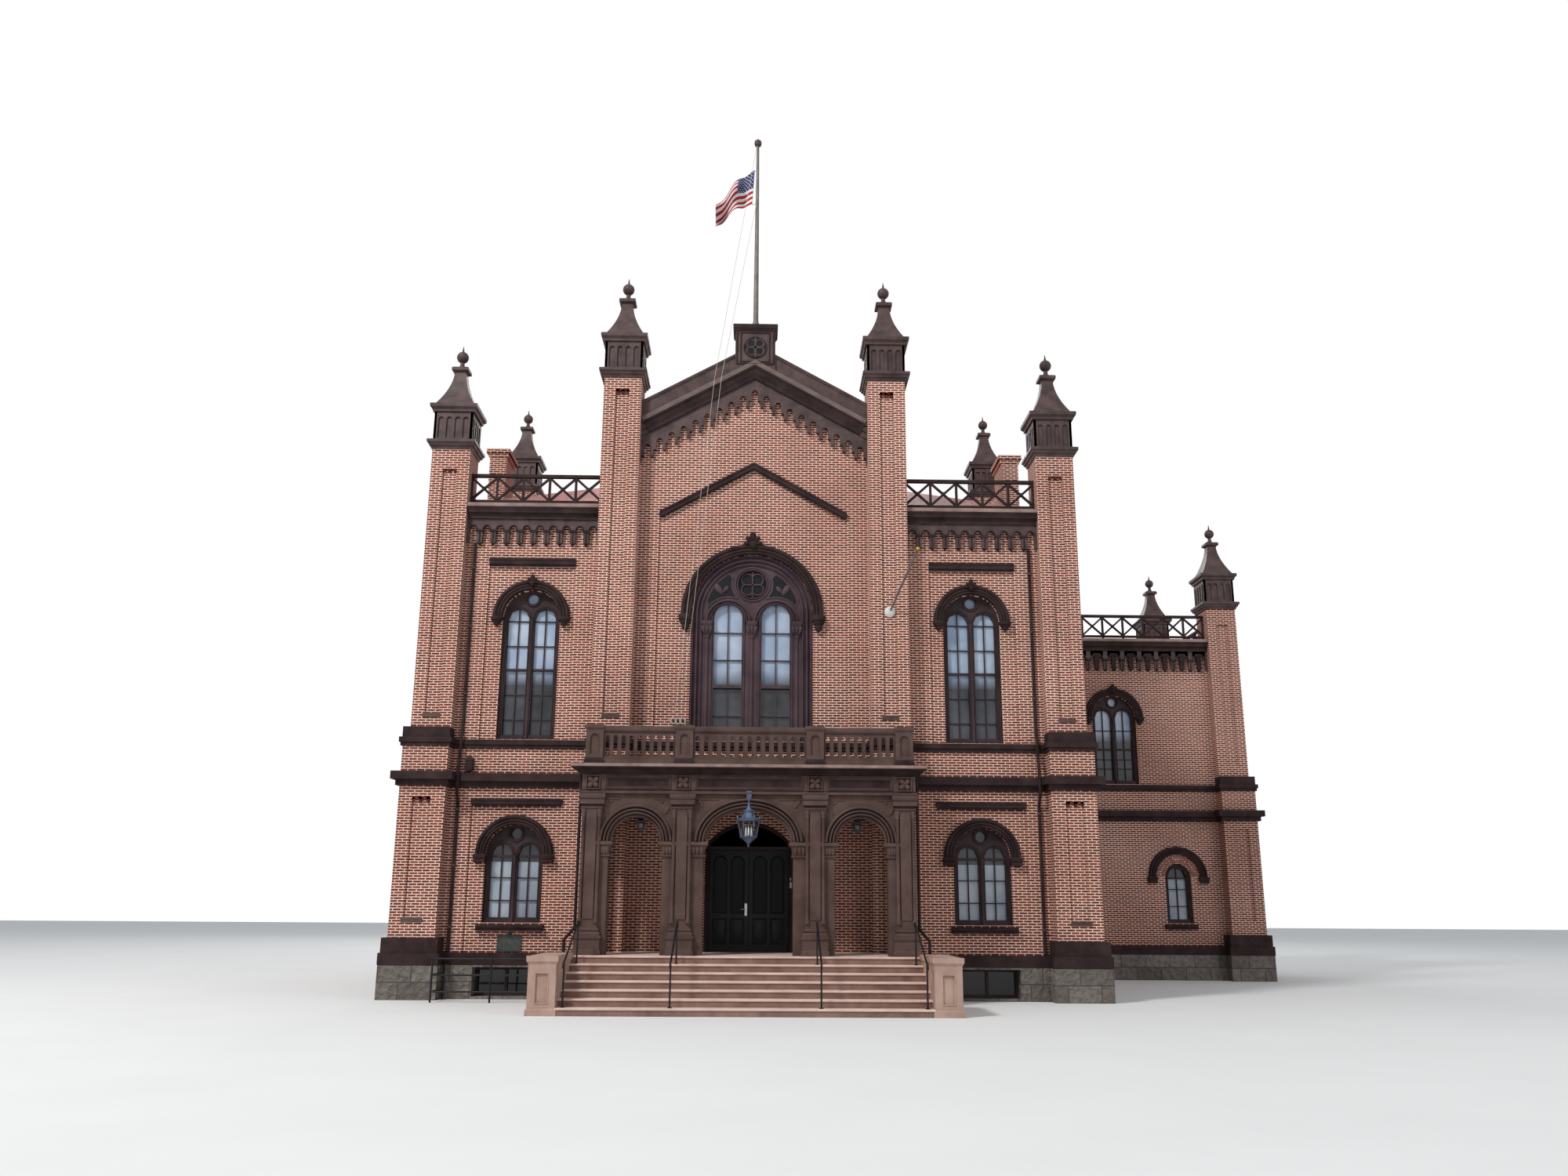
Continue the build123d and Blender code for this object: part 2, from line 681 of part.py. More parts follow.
def gable_line(apex, half):
    """Points of a band edge over the gable, from its left end over the apex to its right end."""
    return [(-half, apex - GABLE_SLOPE * half), (0, apex), (half, apex - GABLE_SLOPE * half)]


def gable_wall():
    """Gable above the centre wall."""
    line = gable_line(GABLE_WALL_APEX, TALL_INNER)
    return deep(front_face([(-TALL_INNER, GABLE_FOOT)] + line + [(TALL_INNER, GABLE_FOOT)]), 0, WALL) - centre_field()


def chevron(top, foot, half, y0, y1):
    """Sloping band on both sides of the gable's apex."""
    return deep(front_face(gable_line(top, half) + gable_line(foot, half)[::-1]), y0, y1)


def notch_face(x, half, foot, spring):
    """Small round-headed gap between two corbels."""
    return arched_face(x, half, foot, spring, half, NOTCH_CHORDS)


def gable_cornice():
    """Raking cornice in three steps, with its coping and the stepped corbels under it."""
    half = TALL_INNER
    tops = [RAKE_TOP - index * RAKE_STEP for index in range(len(RAKE_SHARES) + 1)]
    bands = [chevron(top, foot, half, -RAKE_OUT * share, 0) for top, foot, share in zip(tops, tops[1:], RAKE_SHARES)]
    bands.append(chevron(RAKE_TOP, GABLE_WALL_APEX, half, 0, WALL))
    pitch = GABLE_CORBEL_PITCH
    places = [index * pitch for index in range(GABLE_CORBELS, -GABLE_CORBELS - 1, -1)]
    lower = []
    for x in places:
        level = tops[-1] - GABLE_SLOPE * abs(x) - GABLE_CORBEL_DROP
        lower += [(min(half, x + pitch / 2), level), (max(-half, x - pitch / 2), level)]
    table = front_face(gable_line(tops[-1], half) + lower)
    for x in places[1:-1]:
        level = tops[-1] - GABLE_SLOPE * abs(x) - GABLE_CORBEL_DROP
        table -= notch_face(x, (pitch - CORBEL_WIDE) / 2, level - pitch, level + GABLE_ARCH)
    return joined(bands + [deep(table, -CORBEL_OUT, 0)])


def corbel_table(x0, x1, corbels, foot, top):
    """Row of corbels with small round arches between them."""
    table = front_face([(x0, foot), (x1, foot), (x1, top), (x0, top)])
    pitch = (x1 - x0) / corbels
    for index in range(corbels):
        table -= notch_face(x0 + (index + 0.5) * pitch, (pitch - CORBEL_WIDE) / 2, foot - PAST, foot + CORBEL_ARCH)
    return deep(table, -CORBEL_OUT, 0)


def roof_cornices():
    """Main and wing cornices between the turrets, with the corbel tables of the front."""
    turrets = rise(TURRETS_HIGH, 0, ABOVE)
    centre = block(-TALL_INNER - PAST, TALL_INNER + PAST, -TALL_EDGE, 0, 0, ABOVE)
    main = band(plan([MAIN_RECT]), CORNICE_FOOT, CORNICE_STEPS) - turrets - centre
    wing = band(plan([WING_RECT]), CORNICE_FOOT - WING_DROP, CORNICE_STEPS)
    wing -= turrets + rise(plan([MAIN_RECT]), 0, ABOVE)
    rows = both(corbel_table(-INNER, -TALL_EDGE, BAY_CORBELS, CORBEL_FOOT, CORNICE_FOOT))
    wing_inner = WING_EDGE + TURRET_OUT - TURRET
    row = corbel_table(BODY_HALF + TURRET_OUT, wing_inner, WING_CORBELS, CORBEL_FOOT - WING_DROP,
                       CORNICE_FOOT - WING_DROP)
    return [main, wing, *rows, Pos(0, WING_FRONT, 0) * row]


# Turrets


TURRET_TOPS = {
    "front_corner": (CORNER_SHAFT_TOP, CORNER_PANEL_DROP),
    "tall": (TALL_SHAFT_TOP, TALL_PANEL_DROP),
    "side": (TALL_SHAFT_TOP, TALL_PANEL_DROP),
    "rear": (CORNER_SHAFT_TOP, CORNER_PANEL_DROP),
    "wing": (CORNER_SHAFT_TOP - WING_TURRET_DROP, CORNER_PANEL_DROP),
}
PANEL_SIDES = {
    "front_corner": (("front", "left"), ("front", "right")),
    "tall": (("front",), ("front",)),
    "side": (("left",), ("right",)),
    "rear": (("left",), ("right",)),
    "wing": (("front", "right"), ("right",)),
}
NEAR_GROUPS = ("front_corner", "tall")


def sunk_panel(rect, side, half, foot, top):
    """Shallow recess in one side of a shaft."""
    x0, x1, y0, y1 = rect
    x, y = (x0 + x1) / 2, (y0 + y1) / 2
    places = {
        "front": (x - half, x + half, y0 - PAST, y0 + PANEL_SUNK),
        "left": (x0 - PAST, x0 + PANEL_SUNK, y - half, y + half),
        "right": (x1 - PANEL_SUNK, x1 + PAST, y - half, y + half),
    }
    return block(*places[side], foot, top)


def shaft(group, low, high, sides):
    """Brick shaft of one turret: a wide lower part and a narrow upper part, with sunk panels."""
    top, drop = TURRET_TOPS[group]
    body = rise(plan([low]), STONE_TOP, PEDESTAL_FOOT) + rise(plan([high]), PEDESTAL_FOOT, top)
    half, foot = HIGH_PANEL
    for side in sides:
        body -= sunk_panel(high, side, half, foot, top - drop)
        if group != "tall":
            body -= sunk_panel(low, side, *LOW_PANEL)
    return body


def square(size, z0, z1):
    """Square block on the turret's centre line."""
    return block(-size / 2, size / 2, -size / 2, size / 2, z0, z1)


def spire(near):
    """Stepped flange, panelled box, flared roof, cap, ball and spike over a shaft's top."""
    flange_top = SPIRE_FLANGE[-1][1]
    eaves_foot = SPIRE_EAVES[0][0]
    box_size = TURRET + 2 * SPIRE_BOX_OUT
    box = square(box_size, flange_top, eaves_foot)
    if near:
        margin, foot, spring, share = NICHE
        pitch = (TURRET - 2 * margin) / NICHES
        half = pitch * share
        faces = [notch_face((index - (NICHES - 1) / 2) * pitch, half, foot, spring) for index in range(NICHES)]
    else:
        half, foot, top = FAR_PANEL
        faces = [front_face([(-half, foot), (half, foot), (half, top), (-half, top)])]
    cuts = [deep(face, -box_size / 2 - PAST, -box_size / 2 + NICHE_SUNK) for face in faces]
    box = box.cut(*[Rot(0, 0, 90 * turn) * cut for cut in cuts for turn in range(4)])
    steps = [square(TURRET + 2 * out, z0, z1) for z0, z1, out in SPIRE_FLANGE + SPIRE_EAVES]
    roof = stacked([(z, size / math.sqrt(2)) for z, size in SPIRE_ROOF], 4, turn=45)
    z0, z1, size = SPIRE_CAP
    return joined([box, *steps, roof, square(size, z0, z1), stacked(SPIRE_BALL, BALL_SIDES)])


def on_shaft(shape, rect, foot):
    """A spire moved onto its turret."""
    x0, x1, y0, y1 = rect
    return Pos((x0 + x1) / 2, (y0 + y1) / 2, foot) * shape


# Roofs


def hip(x0, x1, y0, y1, eaves, foot, slope):
    """Solid under a hipped roof over a rectangle, down to the height foot."""
    half = (x1 - x0) / 2
    across = front_face([(x0, foot), (x1, foot), (x1, eaves), ((x0 + x1) / 2, eaves + slope * half), (x0, eaves)])
    run = min(half, (y1 - y0) / 2)
    ridge = eaves + slope * run
    points = [(y0, foot), (y1, foot), (y1, eaves), (y1 - run, ridge), (y0 + run, ridge), (y0, eaves)]
    if run < half:
        points = points[:3] + [((y0 + y1) / 2, ridge)] + points[5:]
    return deep(across, y0, y1) & wide(side_face(points), x0, x1)


def main_roof():
    """Hipped roof with the roof of the front gable, ridges level with the gable's apex."""
    x0, x1 = -BODY_HALF + ROOF_INSET, BODY_HALF - ROOF_INSET
    y0, y1 = ROOF_INSET, BODY_DEPTH - ROOF_INSET
    slope = (GABLE_WALL_APEX - ROOF_EAVES) / x1
    nave_end = BODY_DEPTH / 2
    nave_low = TALL_EDGE - ROOF_THICK
    outer = hip(x0, x1, y0, y1, ROOF_EAVES, WALL_TOP, slope)
    gable = [(-TALL_EDGE, WALL_TOP)] + gable_line(GABLE_WALL_APEX, TALL_EDGE) + [(TALL_EDGE, WALL_TOP)]
    outer += deep(front_face(gable), WALL, nave_end)
    inner = hip(x0, x1, y0, y1, ROOF_EAVES - ROOF_THICK, WALL_TOP - PAST, slope)
    line = gable_line(GABLE_WALL_APEX - ROOF_THICK, nave_low)
    under = [(-nave_low, WALL_TOP - PAST)] + line + [(nave_low, WALL_TOP - PAST)]
    inner += deep(front_face(under), WALL - PAST, nave_end - ROOF_THICK)
    stacks = both(chimney_stack())
    front = block(-TALL_INNER, TALL_INNER, -PAST, WALL, 0, ABOVE)
    return (outer - inner).cut(rise(TURRETS_HIGH, 0, ABOVE), front, *stacks)


def wing_roof():
    """Low hipped roof over the wing."""
    x0, x1, y0, y1 = WING_RECT
    eaves, foot = ROOF_EAVES - WING_DROP, WALL_TOP - WING_DROP
    edges = (x1 - ROOF_INSET, y0 + ROOF_INSET, y1 - ROOF_INSET)
    outer = hip(x0, *edges, eaves, foot, WING_SLOPE)
    inner = hip(x0 + WALL, *edges, eaves - ROOF_THICK, foot - PAST, WING_SLOPE)
    return outer - inner - rise(TURRETS_HIGH, 0, ABOVE)


def chimney_stack(grow=0, z0=WALL_TOP, z1=CHIMNEY_TOP):
    """Brick stack on the right side wall, or a course of its cap."""
    x1 = BODY_HALF - CHIMNEY_IN
    y0, y1 = CHIMNEY_FRONT, CHIMNEY_FRONT + CHIMNEY_DEEP
    return block(x1 - CHIMNEY_WIDE - grow, x1 + grow, y0 - grow, y1 + grow, z0, z1)


def chimney():
    """Stack with its stepped cap."""
    high = sum(high for high, out in CHIMNEY_CAP)
    z = CHIMNEY_TOP - high
    courses = [chimney_stack(0, WALL_TOP, z)]
    for high, out in CHIMNEY_CAP:
        courses.append(chimney_stack(out, z, z + high))
        z += high
    return joined(courses)


# Railings on the roof edge


def crossed_bay(x0, x1, z0, z1):
    """The four triangular gaps of one crossed bay, as front faces."""
    slant = math.atan2(z1 - z0, x1 - x0)
    up, along = RAILING_BAR / 2 / math.cos(slant), RAILING_BAR / 2 / math.sin(slant)
    xm, zm = (x0 + x1) / 2, (z0 + z1) / 2
    return [
        front_face([(x0 + along, z0), (x1 - along, z0), (xm, zm - up)]),
        front_face([(x0 + along, z1), (x1 - along, z1), (xm, zm + up)]),
        front_face([(x0, z0 + up), (x0, z1 - up), (xm - along, zm)]),
        front_face([(x1, z0 + up), (x1, z1 - up), (xm + along, zm)]),
    ]


def railing(length, bays):
    """Crossed railing on its feet, from x = 0, standing on the wall's top."""
    foot_high, foot_deep = RAILING_FOOT
    top_high, top_deep = RAILING_TOP
    z0 = RAILING_LIFT + foot_high
    z2 = RAILING_LIFT + RAILING_HIGH
    z1 = z2 - top_high
    face = front_face([(0, z0), (length, z0), (length, z1), (0, z1)])
    pitch = (length - RAILING_BAR) / bays
    for index in range(bays):
        for gap in crossed_bay(index * pitch + RAILING_BAR, (index + 1) * pitch, z0, z1):
            face -= gap
    middle = foot_deep / 2
    pieces = [
        deep(face, middle - RAILING_DEEP / 2, middle + RAILING_DEEP / 2),
        block(0, length, 0, foot_deep, RAILING_LIFT, z0),
        block(0, length, middle - top_deep / 2, middle + top_deep / 2, z1, z2),
    ]
    for share in RAILING_FEET:
        x, half = share * length, RAILING_DEEP / 2
        pieces.append(block(x - half, x + half, middle - half, middle + half, 0, RAILING_LIFT))
    return joined(pieces)


def railings():
    """Front, side and wing railings."""
    front = INNER - TALL_EDGE
    pitch = front / RAILING_BAYS

    def far(length):
        return railing(length, round(length / pitch / FAR_BAY))

    groups = {"front": both(Pos(-INNER, 0, WALL_TOP) * railing(front, RAILING_BAYS)), "back": []}
    for y0, y1 in SIDE_BAYS:
        groups["back"].append(Pos(-BODY_HALF, y1, WALL_TOP) * Rot(0, 0, -90) * far(y1 - y0))
    y0, y1 = SIDE_BAYS[0]
    groups["back"].append(Pos(BODY_HALF, y0, WALL_TOP) * Rot(0, 0, 90) * far(y1 - y0))
    groups["back"].append(Pos(INNER, BODY_DEPTH, WALL_TOP) * Rot(0, 0, 180) * far(2 * INNER))
    top = WALL_TOP - WING_DROP
    x0, x1 = BODY_HALF + TURRET_OUT, WING_EDGE + TURRET_OUT - TURRET
    groups["wing"] = [Pos(x0, WING_FRONT, top) * railing(x1 - x0, round((x1 - x0) / pitch / WING_BAY))]
    y0, y1 = WING_FRONT - TURRET_OUT + TURRET, WING_BACK + TURRET_OUT - TURRET
    groups["wing"].append(Pos(WING_EDGE, y0, top) * Rot(0, 0, 90) * far(y1 - y0))
    return groups


# Portico


def portico_arcade():
    """Front wall of the portico with its three arches."""
    back = -PORTICO_FRONT + PORTICO_WALL
    wall = block(-PORTICO_HALF, PORTICO_HALF, -PORTICO_FRONT, back, FLOOR_TOP, ARCADE_TOP)
    arches = [(0, CENTRE_ARCH_HALF, CENTRE_ARCH_RISE), (SIDE_ARCH_X, SIDE_ARCH_HALF, SIDE_ARCH_HALF),
              (-SIDE_ARCH_X, SIDE_ARCH_HALF, SIDE_ARCH_HALF)]
    for x, half, top in arches:
        cut = arched_face(x, half, FLOOR_TOP - PAST, ARCH_SPRING, top, PORTICO_CHORDS)
        wall -= deep(cut, -PORTICO_FRONT - PAST, back + PAST)
    return wall


def portico_end():
    """Left end wall of the portico with its arch."""
    y0 = -PORTICO_FRONT + PORTICO_WALL
    wall = block(-PORTICO_HALF, -PORTICO_HALF + PORTICO_WALL, y0, -TALL_OUT, FLOOR_TOP, ARCADE_TOP)
    points = arch_points((y0 - TALL_OUT) / 2, END_ARCH_HALF, ARCH_SPRING, END_ARCH_HALF, ARCH_CHORDS)
    arch = side_face([(points[0][0], FLOOR_TOP - PAST), *points, (points[-1][0], FLOOR_TOP - PAST)])
    return wall - wide(arch, -PORTICO_HALF - PAST, -PORTICO_HALF + PORTICO_WALL + PAST)


def arch_moulding(x, half, top):
    """Raised band round one arch of the arcade, with its two impost blocks."""
    broad = half + ARCH_BAND
    outer = arched_face(x, broad, ARCH_SPRING - PAST, ARCH_SPRING, top + ARCH_BAND, PORTICO_CHORDS)
    inner = arched_face(x, half, ARCH_SPRING - 2 * PAST, ARCH_SPRING, top, PORTICO_CHORDS)
    pieces = [deep(outer - inner, -PORTICO_FRONT - ARCH_OUT, -PORTICO_FRONT)]
    front = -PORTICO_FRONT - ARCH_OUT - IMPOST_OUT
    for side in (-1, 1):
        pieces.append(block(x + side * half, x + side * broad, front, -PORTICO_FRONT, ARCH_SPRING - IMPOST_HIGH,
                            ARCH_SPRING))
    return joined(pieces)


def pilaster(x):
    """Pilaster with its pedestal and capital on the front of the arcade."""
    front = -PORTICO_FRONT - PILASTER_OUT
    half = PILASTER_WIDE / 2
    base = PEDESTAL_WIDE / 2
    cap = half + CAPITAL_OUT
    return joined([
        block(x - half, x + half, front, -PORTICO_FRONT, FLOOR_TOP, ARCADE_TOP),
        block(x - base, x + base, front - CAPITAL_OUT, -PORTICO_FRONT, FLOOR_TOP, PILASTER_BASE_TOP),
        block(x - cap, x + cap, front - CAPITAL_OUT, -PORTICO_FRONT, CAPITAL_FOOT, CAPITAL_TOP),
    ])


def portico_roof():
    """Ceiling, cornice and flat roof in one slab."""
    low, high = PORTICO_CORNICE_FOOT, PORTICO_CORNICE_FOOT + 2 * PORTICO_CORNICE_STEP
    layers = [block(-TALL_INNER, TALL_INNER, -TALL_OUT, 0, low, high)]
    for index in (0, 1):
        z0 = low + index * PORTICO_CORNICE_STEP
        out = PORTICO_CORNICE_OUT * (index + 1) / 2
        layers.append(block(-PORTICO_HALF - out, PORTICO_HALF + out, -PORTICO_FRONT - out, -TALL_OUT, z0,
                            z0 + PORTICO_CORNICE_STEP))
    return joined(layers)


def portico_frieze():
    """Beams between the arcade and the cornice."""
    half = PORTICO_HALF + FRIEZE_SIDE
    front = -PORTICO_FRONT - FRIEZE_OUT
    beams = block(-half, half, front, -TALL_OUT, ARCADE_TOP, PORTICO_CORNICE_FOOT)
    inner = half - FRIEZE_WALL
    return beams - block(-inner, inner, front + FRIEZE_WALL + FRIEZE_SIDE, PAST, ARCADE_TOP - PAST,
                         PORTICO_CORNICE_FOOT + PAST)


def slotted_panel(length, height, pitch=SLOT_PITCH):
    """Parapet panel with round-headed slots, from x = 0."""
    face = front_face([(0, 0), (length, 0), (length, height), (0, height)])
    slots = round(length / pitch)
    pitch = length / slots
    half = pitch * SLOT_SHARE
    for index in range(slots):
        face -= notch_face((index + 0.5) * pitch, half, SLOT_MARGIN, height - SLOT_MARGIN - half)
    inset = (PARAPET_WIDE - PARAPET_PANEL) / 2
    return deep(face, inset, inset + PARAPET_PANEL)


def portico_parapet():
    """Parapet round the portico's flat roof: rails, slotted panels and posts."""
    front = -PORTICO_FRONT - PARAPET_SETBACK
    back = front + PARAPET_WIDE
    base = PORTICO_CORNICE_FOOT + 2 * PORTICO_CORNICE_STEP
    low, high = base + PARAPET_BASE, PARAPET_TOP - PARAPET_RAIL
    half = PARAPET_POST / 2
    outer = PARAPET_POSTS[0] + half
    pieces = []
    for z0, z1 in ((base, low), (high, PARAPET_TOP)):
        pieces.append(block(-outer, outer, front, back, z0, z1))
        pieces += both(block(-outer, -outer + PARAPET_WIDE, back, -TALL_OUT, z0, z1))
    posts = [-PARAPET_POSTS[0], -PARAPET_POSTS[1], PARAPET_POSTS[1], PARAPET_POSTS[0]]
    for x in posts:
        pieces.append(block(x - half, x + half, front - POST_OUT, back + POST_OUT, base, PARAPET_TOP + POST_CAP))
    for x0, x1 in zip(posts, posts[1:]):
        pieces.append(Pos(x0 + half, front, low) * slotted_panel(x1 - x0 - PARAPET_POST, high - low))
    end = Pos(-outer, -TALL_OUT, low) * Rot(0, 0, -90) * slotted_panel(-TALL_OUT - back, high - low, END_SLOT_PITCH)
    return joined(pieces + both(end))


def portico_floor():
    """Raised masonry floor under the portico, with the landing before it."""
    half = PORTICO_HALF + FLOOR_OVER
    shape = block(-half, half, -PORTICO_FRONT - LANDING_OUT, -TALL_OUT, 0, FLOOR_TOP)
    return shape + block(-TALL_INNER, TALL_INNER, -TALL_OUT, WALL, 0, FLOOR_TOP)


STEP_EDGE = -PORTICO_FRONT - LANDING_OUT
RISER = FLOOR_TOP / RISERS


def front_steps():
    """Flight of steps, each tread a solid block down to the ground."""
    treads = []
    for index in range(1, RISERS):
        y1 = STEP_EDGE - (index - 1) * TREAD
        treads.append(block(-STEPS_HALF, STEPS_HALF, y1 - TREAD, y1, 0, FLOOR_TOP - index * RISER))
    return treads


def step_cheek():
    """Left cheek block beside the steps with its cap and the sunk panel in its front."""
    end = STEP_EDGE - (RISERS - 1) * TREAD
    x0, x1 = -STEPS_HALF - CHEEK_WIDE, -STEPS_HALF
    lip = CHEEK_LIP
    shape = block(x0 + lip, x1, end + lip, STEP_EDGE, 0, CHEEK_TOP - CHEEK_CAP)
    shape += block(x0, x1, end, STEP_EDGE, CHEEK_TOP - CHEEK_CAP, CHEEK_TOP)
    half, foot, top = CHEEK_PANEL
    x = (x0 + lip + x1) / 2
    return shape - block(x - half, x + half, end, end + lip + CHEEK_SUNK, foot, top)


def handrail(x):
    """Two posts and the rail between them, beside the steps."""
    run, fall = (RISERS - 2) * TREAD, (RISERS - 2) * RISER
    y0, z0 = STEP_EDGE - RAIL_BACK, FLOOR_TOP - RISER
    y1, z1 = y0 - run, z0 - fall
    half, high, reach = RAIL_BAR / 2, RAIL_HIGH, RAIL_REACH
    line = [(y0 + reach, z0 + high), (y0, z0 + high), (y1, z1 + high), (y1 - reach, z1 + high)]
    rail = side_face(line + [(y, z + RAIL_BAR) for y, z in line[::-1]])
    return joined([
        wide(rail, x - half, x + half),
        block(x - half, x + half, y0 - half, y0 + half, z0, z0 + high),
        block(x - half, x + half, y1 - half, y1 + half, z1, z1 + high),
    ])


def area_rail():
    """Pipe rail with three bars round the area in front of the left bay."""
    half = AREA_BAR / 2
    end = -PORTICO_HALF - FLOOR_OVER
    pieces = []
    for x, y in ((AREA_LEFT, AREA_FRONT), (AREA_POST, AREA_FRONT), (AREA_LEFT, AREA_BACK)):
        pieces.append(block(x - half, x + half, y - half, y + half, 0, AREA_RAILS[-1] + half))
    for z in AREA_RAILS:
        pieces.append(block(AREA_LEFT, end, AREA_FRONT - half, AREA_FRONT + half, z - half, z + half))
        pieces.append(block(AREA_LEFT - half, AREA_LEFT + half, AREA_FRONT, AREA_BACK, z - half, z + half))
    return joined(pieces)


def lantern():
    """Six-sided lantern on its bracket before the centre arch."""
    half, foot, top = LANTERN_PLATE
    face = -PORTICO_FRONT - FRIEZE_OUT
    rod = LANTERN_ROD / 2
    arm = (foot + top) / 2
    return joined([
        stacked(LANTERN, 6, 0, LANTERN_Y),
        block(-rod, rod, LANTERN_Y - rod, LANTERN_Y + rod, LANTERN[-1][0] - LANTERN_ROD, arm + rod),
        block(-rod, rod, LANTERN_Y, face, arm - rod, arm + rod),
        block(-half, half, face - LANTERN_ROD, face, foot, top),
    ])


def small_lantern():
    """Lantern hung under the ceiling behind the left side arch."""
    y = -PORTICO_FRONT / 2
    rod = LANTERN_ROD / 4
    hanger = block(-SIDE_ARCH_X - rod, -SIDE_ARCH_X + rod, y - rod, y + rod, SMALL_LANTERN[-1][0] - LANTERN_ROD,
                   PORTICO_CORNICE_FOOT)
    return stacked(SMALL_LANTERN, 6, -SIDE_ARCH_X, y) + hanger


# Entrance


def door_frame():
    """Jambs, transom bar and the fanlight's rim in the doorway, with the hinge plates."""
    edge = DOOR_HALF - DOOR_JAMB
    outer = arched_face(0, DOOR_HALF - CLEAR, FLOOR_TOP, DOOR_SPRING, DOOR_RISE - CLEAR, PORTICO_CHORDS)
    door = front_face([(-edge, FLOOR_TOP), (edge, FLOOR_TOP), (edge, TRANSOM_FOOT), (-edge, TRANSOM_FOOT)])
    light = arched_face(0, edge, DOOR_SPRING, DOOR_SPRING + PAST, DOOR_RISE - DOOR_JAMB, PORTICO_CHORDS)
    frame = deep(outer - door - light, DOOR_FRAME_BACK, DOOR_FRAME_BACK + DOOR_FRAME_DEEP)
    return joined([frame] + [side for plate in frame_hinges() for side in both(plate)])


def hinge_heights():
    """Foot height of each hinge on a leaf."""
    foot = FLOOR_TOP + LEAF_LIFT
    return [foot + share * (LEAF_TOP - foot) - HINGE_HIGH / 2 for share in HINGE_SHARES]


def hinge_axis():
    """Plan position of the left leaf's pivot line, on the inside of the door."""
    return -DOOR_HALF + DOOR_JAMB + LEAF_GAP / 2, DOOR_FRAME_BACK + DOOR_FRAME_DEEP + HINGE_R


def frame_hinges():
    """Hinge plates on the left jamb, which end beside the barrels."""
    x, y = hinge_axis()
    edge = x - HINGE_R - CLEAR
    foot = y - HINGE_R
    return [block(edge - HINGE_REACH, edge, foot, foot + 2 * HINGE_PLATE, z, z + HINGE_HIGH) for z in hinge_heights()]


def leaf_hinges():
    """Barrels on the pivot line, each with its plate on the left leaf."""
    x, y = hinge_axis()
    pieces = []
    for z in hinge_heights():
        pieces.append(Pos(x, y, z) * extrude(Circle(HINGE_R), amount=HINGE_HIGH))
        pieces.append(block(x, x + HINGE_REACH, y - HINGE_R, y - HINGE_R + HINGE_PLATE, z, z + HINGE_HIGH))
    return pieces


def door_leaf():
    """Left leaf with sunk panels and its hinge barrels, closed."""
    edge = DOOR_HALF - DOOR_JAMB - LEAF_GAP
    y1 = DOOR_FRAME_BACK + DOOR_FRAME_DEEP
    y0 = y1 - LEAF_THICK
    foot = FLOOR_TOP + LEAF_LIFT
    leaf = block(-edge, -LEAF_MEET, y0, y1, foot, LEAF_TOP)
    half = (edge - LEAF_MEET - 3 * LEAF_STILE) / 4
    light_foot, light_head = LEAF_LIGHT
    low, high = LEAF_PANEL
    cuts = []
    for index in range(2):
        x = -edge + LEAF_STILE + half + index * (2 * half + LEAF_STILE)
        upper = arched_face(x, half, foot + light_foot, LEAF_TOP - light_head - half, half, LIGHT_CHORDS)
        lower = front_face([(x - half, foot + low), (x + half, foot + low), (x + half, foot + high),
                            (x - half, foot + high)])
        for face in (upper, lower):
            cuts += [deep(face, y0 - PAST, y0 + LEAF_SUNK), deep(face, y1 - LEAF_SUNK, y1 + PAST)]
    return joined([leaf.cut(*cuts)] + leaf_hinges())


def lever():
    """Lever handle on the outside of the left leaf."""
    y = DOOR_FRAME_BACK + DOOR_FRAME_DEEP - LEAF_THICK
    x = -LEAF_MEET - LEAF_STILE / 2
    half, tall, out = LEVER_ROSE
    length, bar, reach = LEVER_BAR
    return [
        block(x - half, x + half, y - out, y, LEVER_Z - tall, LEVER_Z + tall),
        block(x - bar / 2, x + bar / 2, y - reach, y - out, LEVER_Z, LEVER_Z + bar),
        block(x - length, x + bar / 2, y - reach, y - reach + bar, LEVER_Z, LEVER_Z + bar),
    ]


# Smaller pieces


def label_moulding(field, high):
    """Label bar over the sunk field of the left bay."""
    x, half, foot, top = field
    return block(-x - half, -x + half, -LABEL_OUT, 0, top, top + high)


def gable_label():
    """Chevron label moulding in the gable."""
    half, foot, top = GABLE_LABEL
    return chevron(top, foot, half, -LABEL_OUT, 0)


def apex_block():
    """Pedestal on the gable's apex, which carries the flagpole."""
    z0 = RAKE_TOP - GABLE_SLOPE * APEX_HALF
    z1 = APEX_TOP - APEX_CAP
    face = front_face([(-APEX_HALF, z0), (0, RAKE_TOP), (APEX_HALF, z0), (APEX_HALF, z1), (-APEX_HALF, z1)])
    lip = APEX_HALF + APEX_LIP
    return deep(face, -RAKE_OUT, WALL) + block(-lip, lip, -RAKE_OUT - APEX_LIP, WALL + APEX_LIP, z1, APEX_TOP)


def flagpole():
    """Pole on the apex block with its ball, and the flag that droops from two ties."""
    y = (WALL - RAKE_OUT) / 2
    half = FLAG_TIE / 2
    pieces = [stacked(POLE, POLE_SIDES, 0, y), stacked(POLE_BALL, POLE_SIDES, 0, y)]
    pieces.append(deep(front_face(FLAG), y - FLAG_THICK / 2, y + FLAG_THICK / 2))
    for z, reach in FLAG_TIES:
        pieces.append(block(-reach, 0, y - half, y + half, z - half, z + half))
    return joined(pieces)


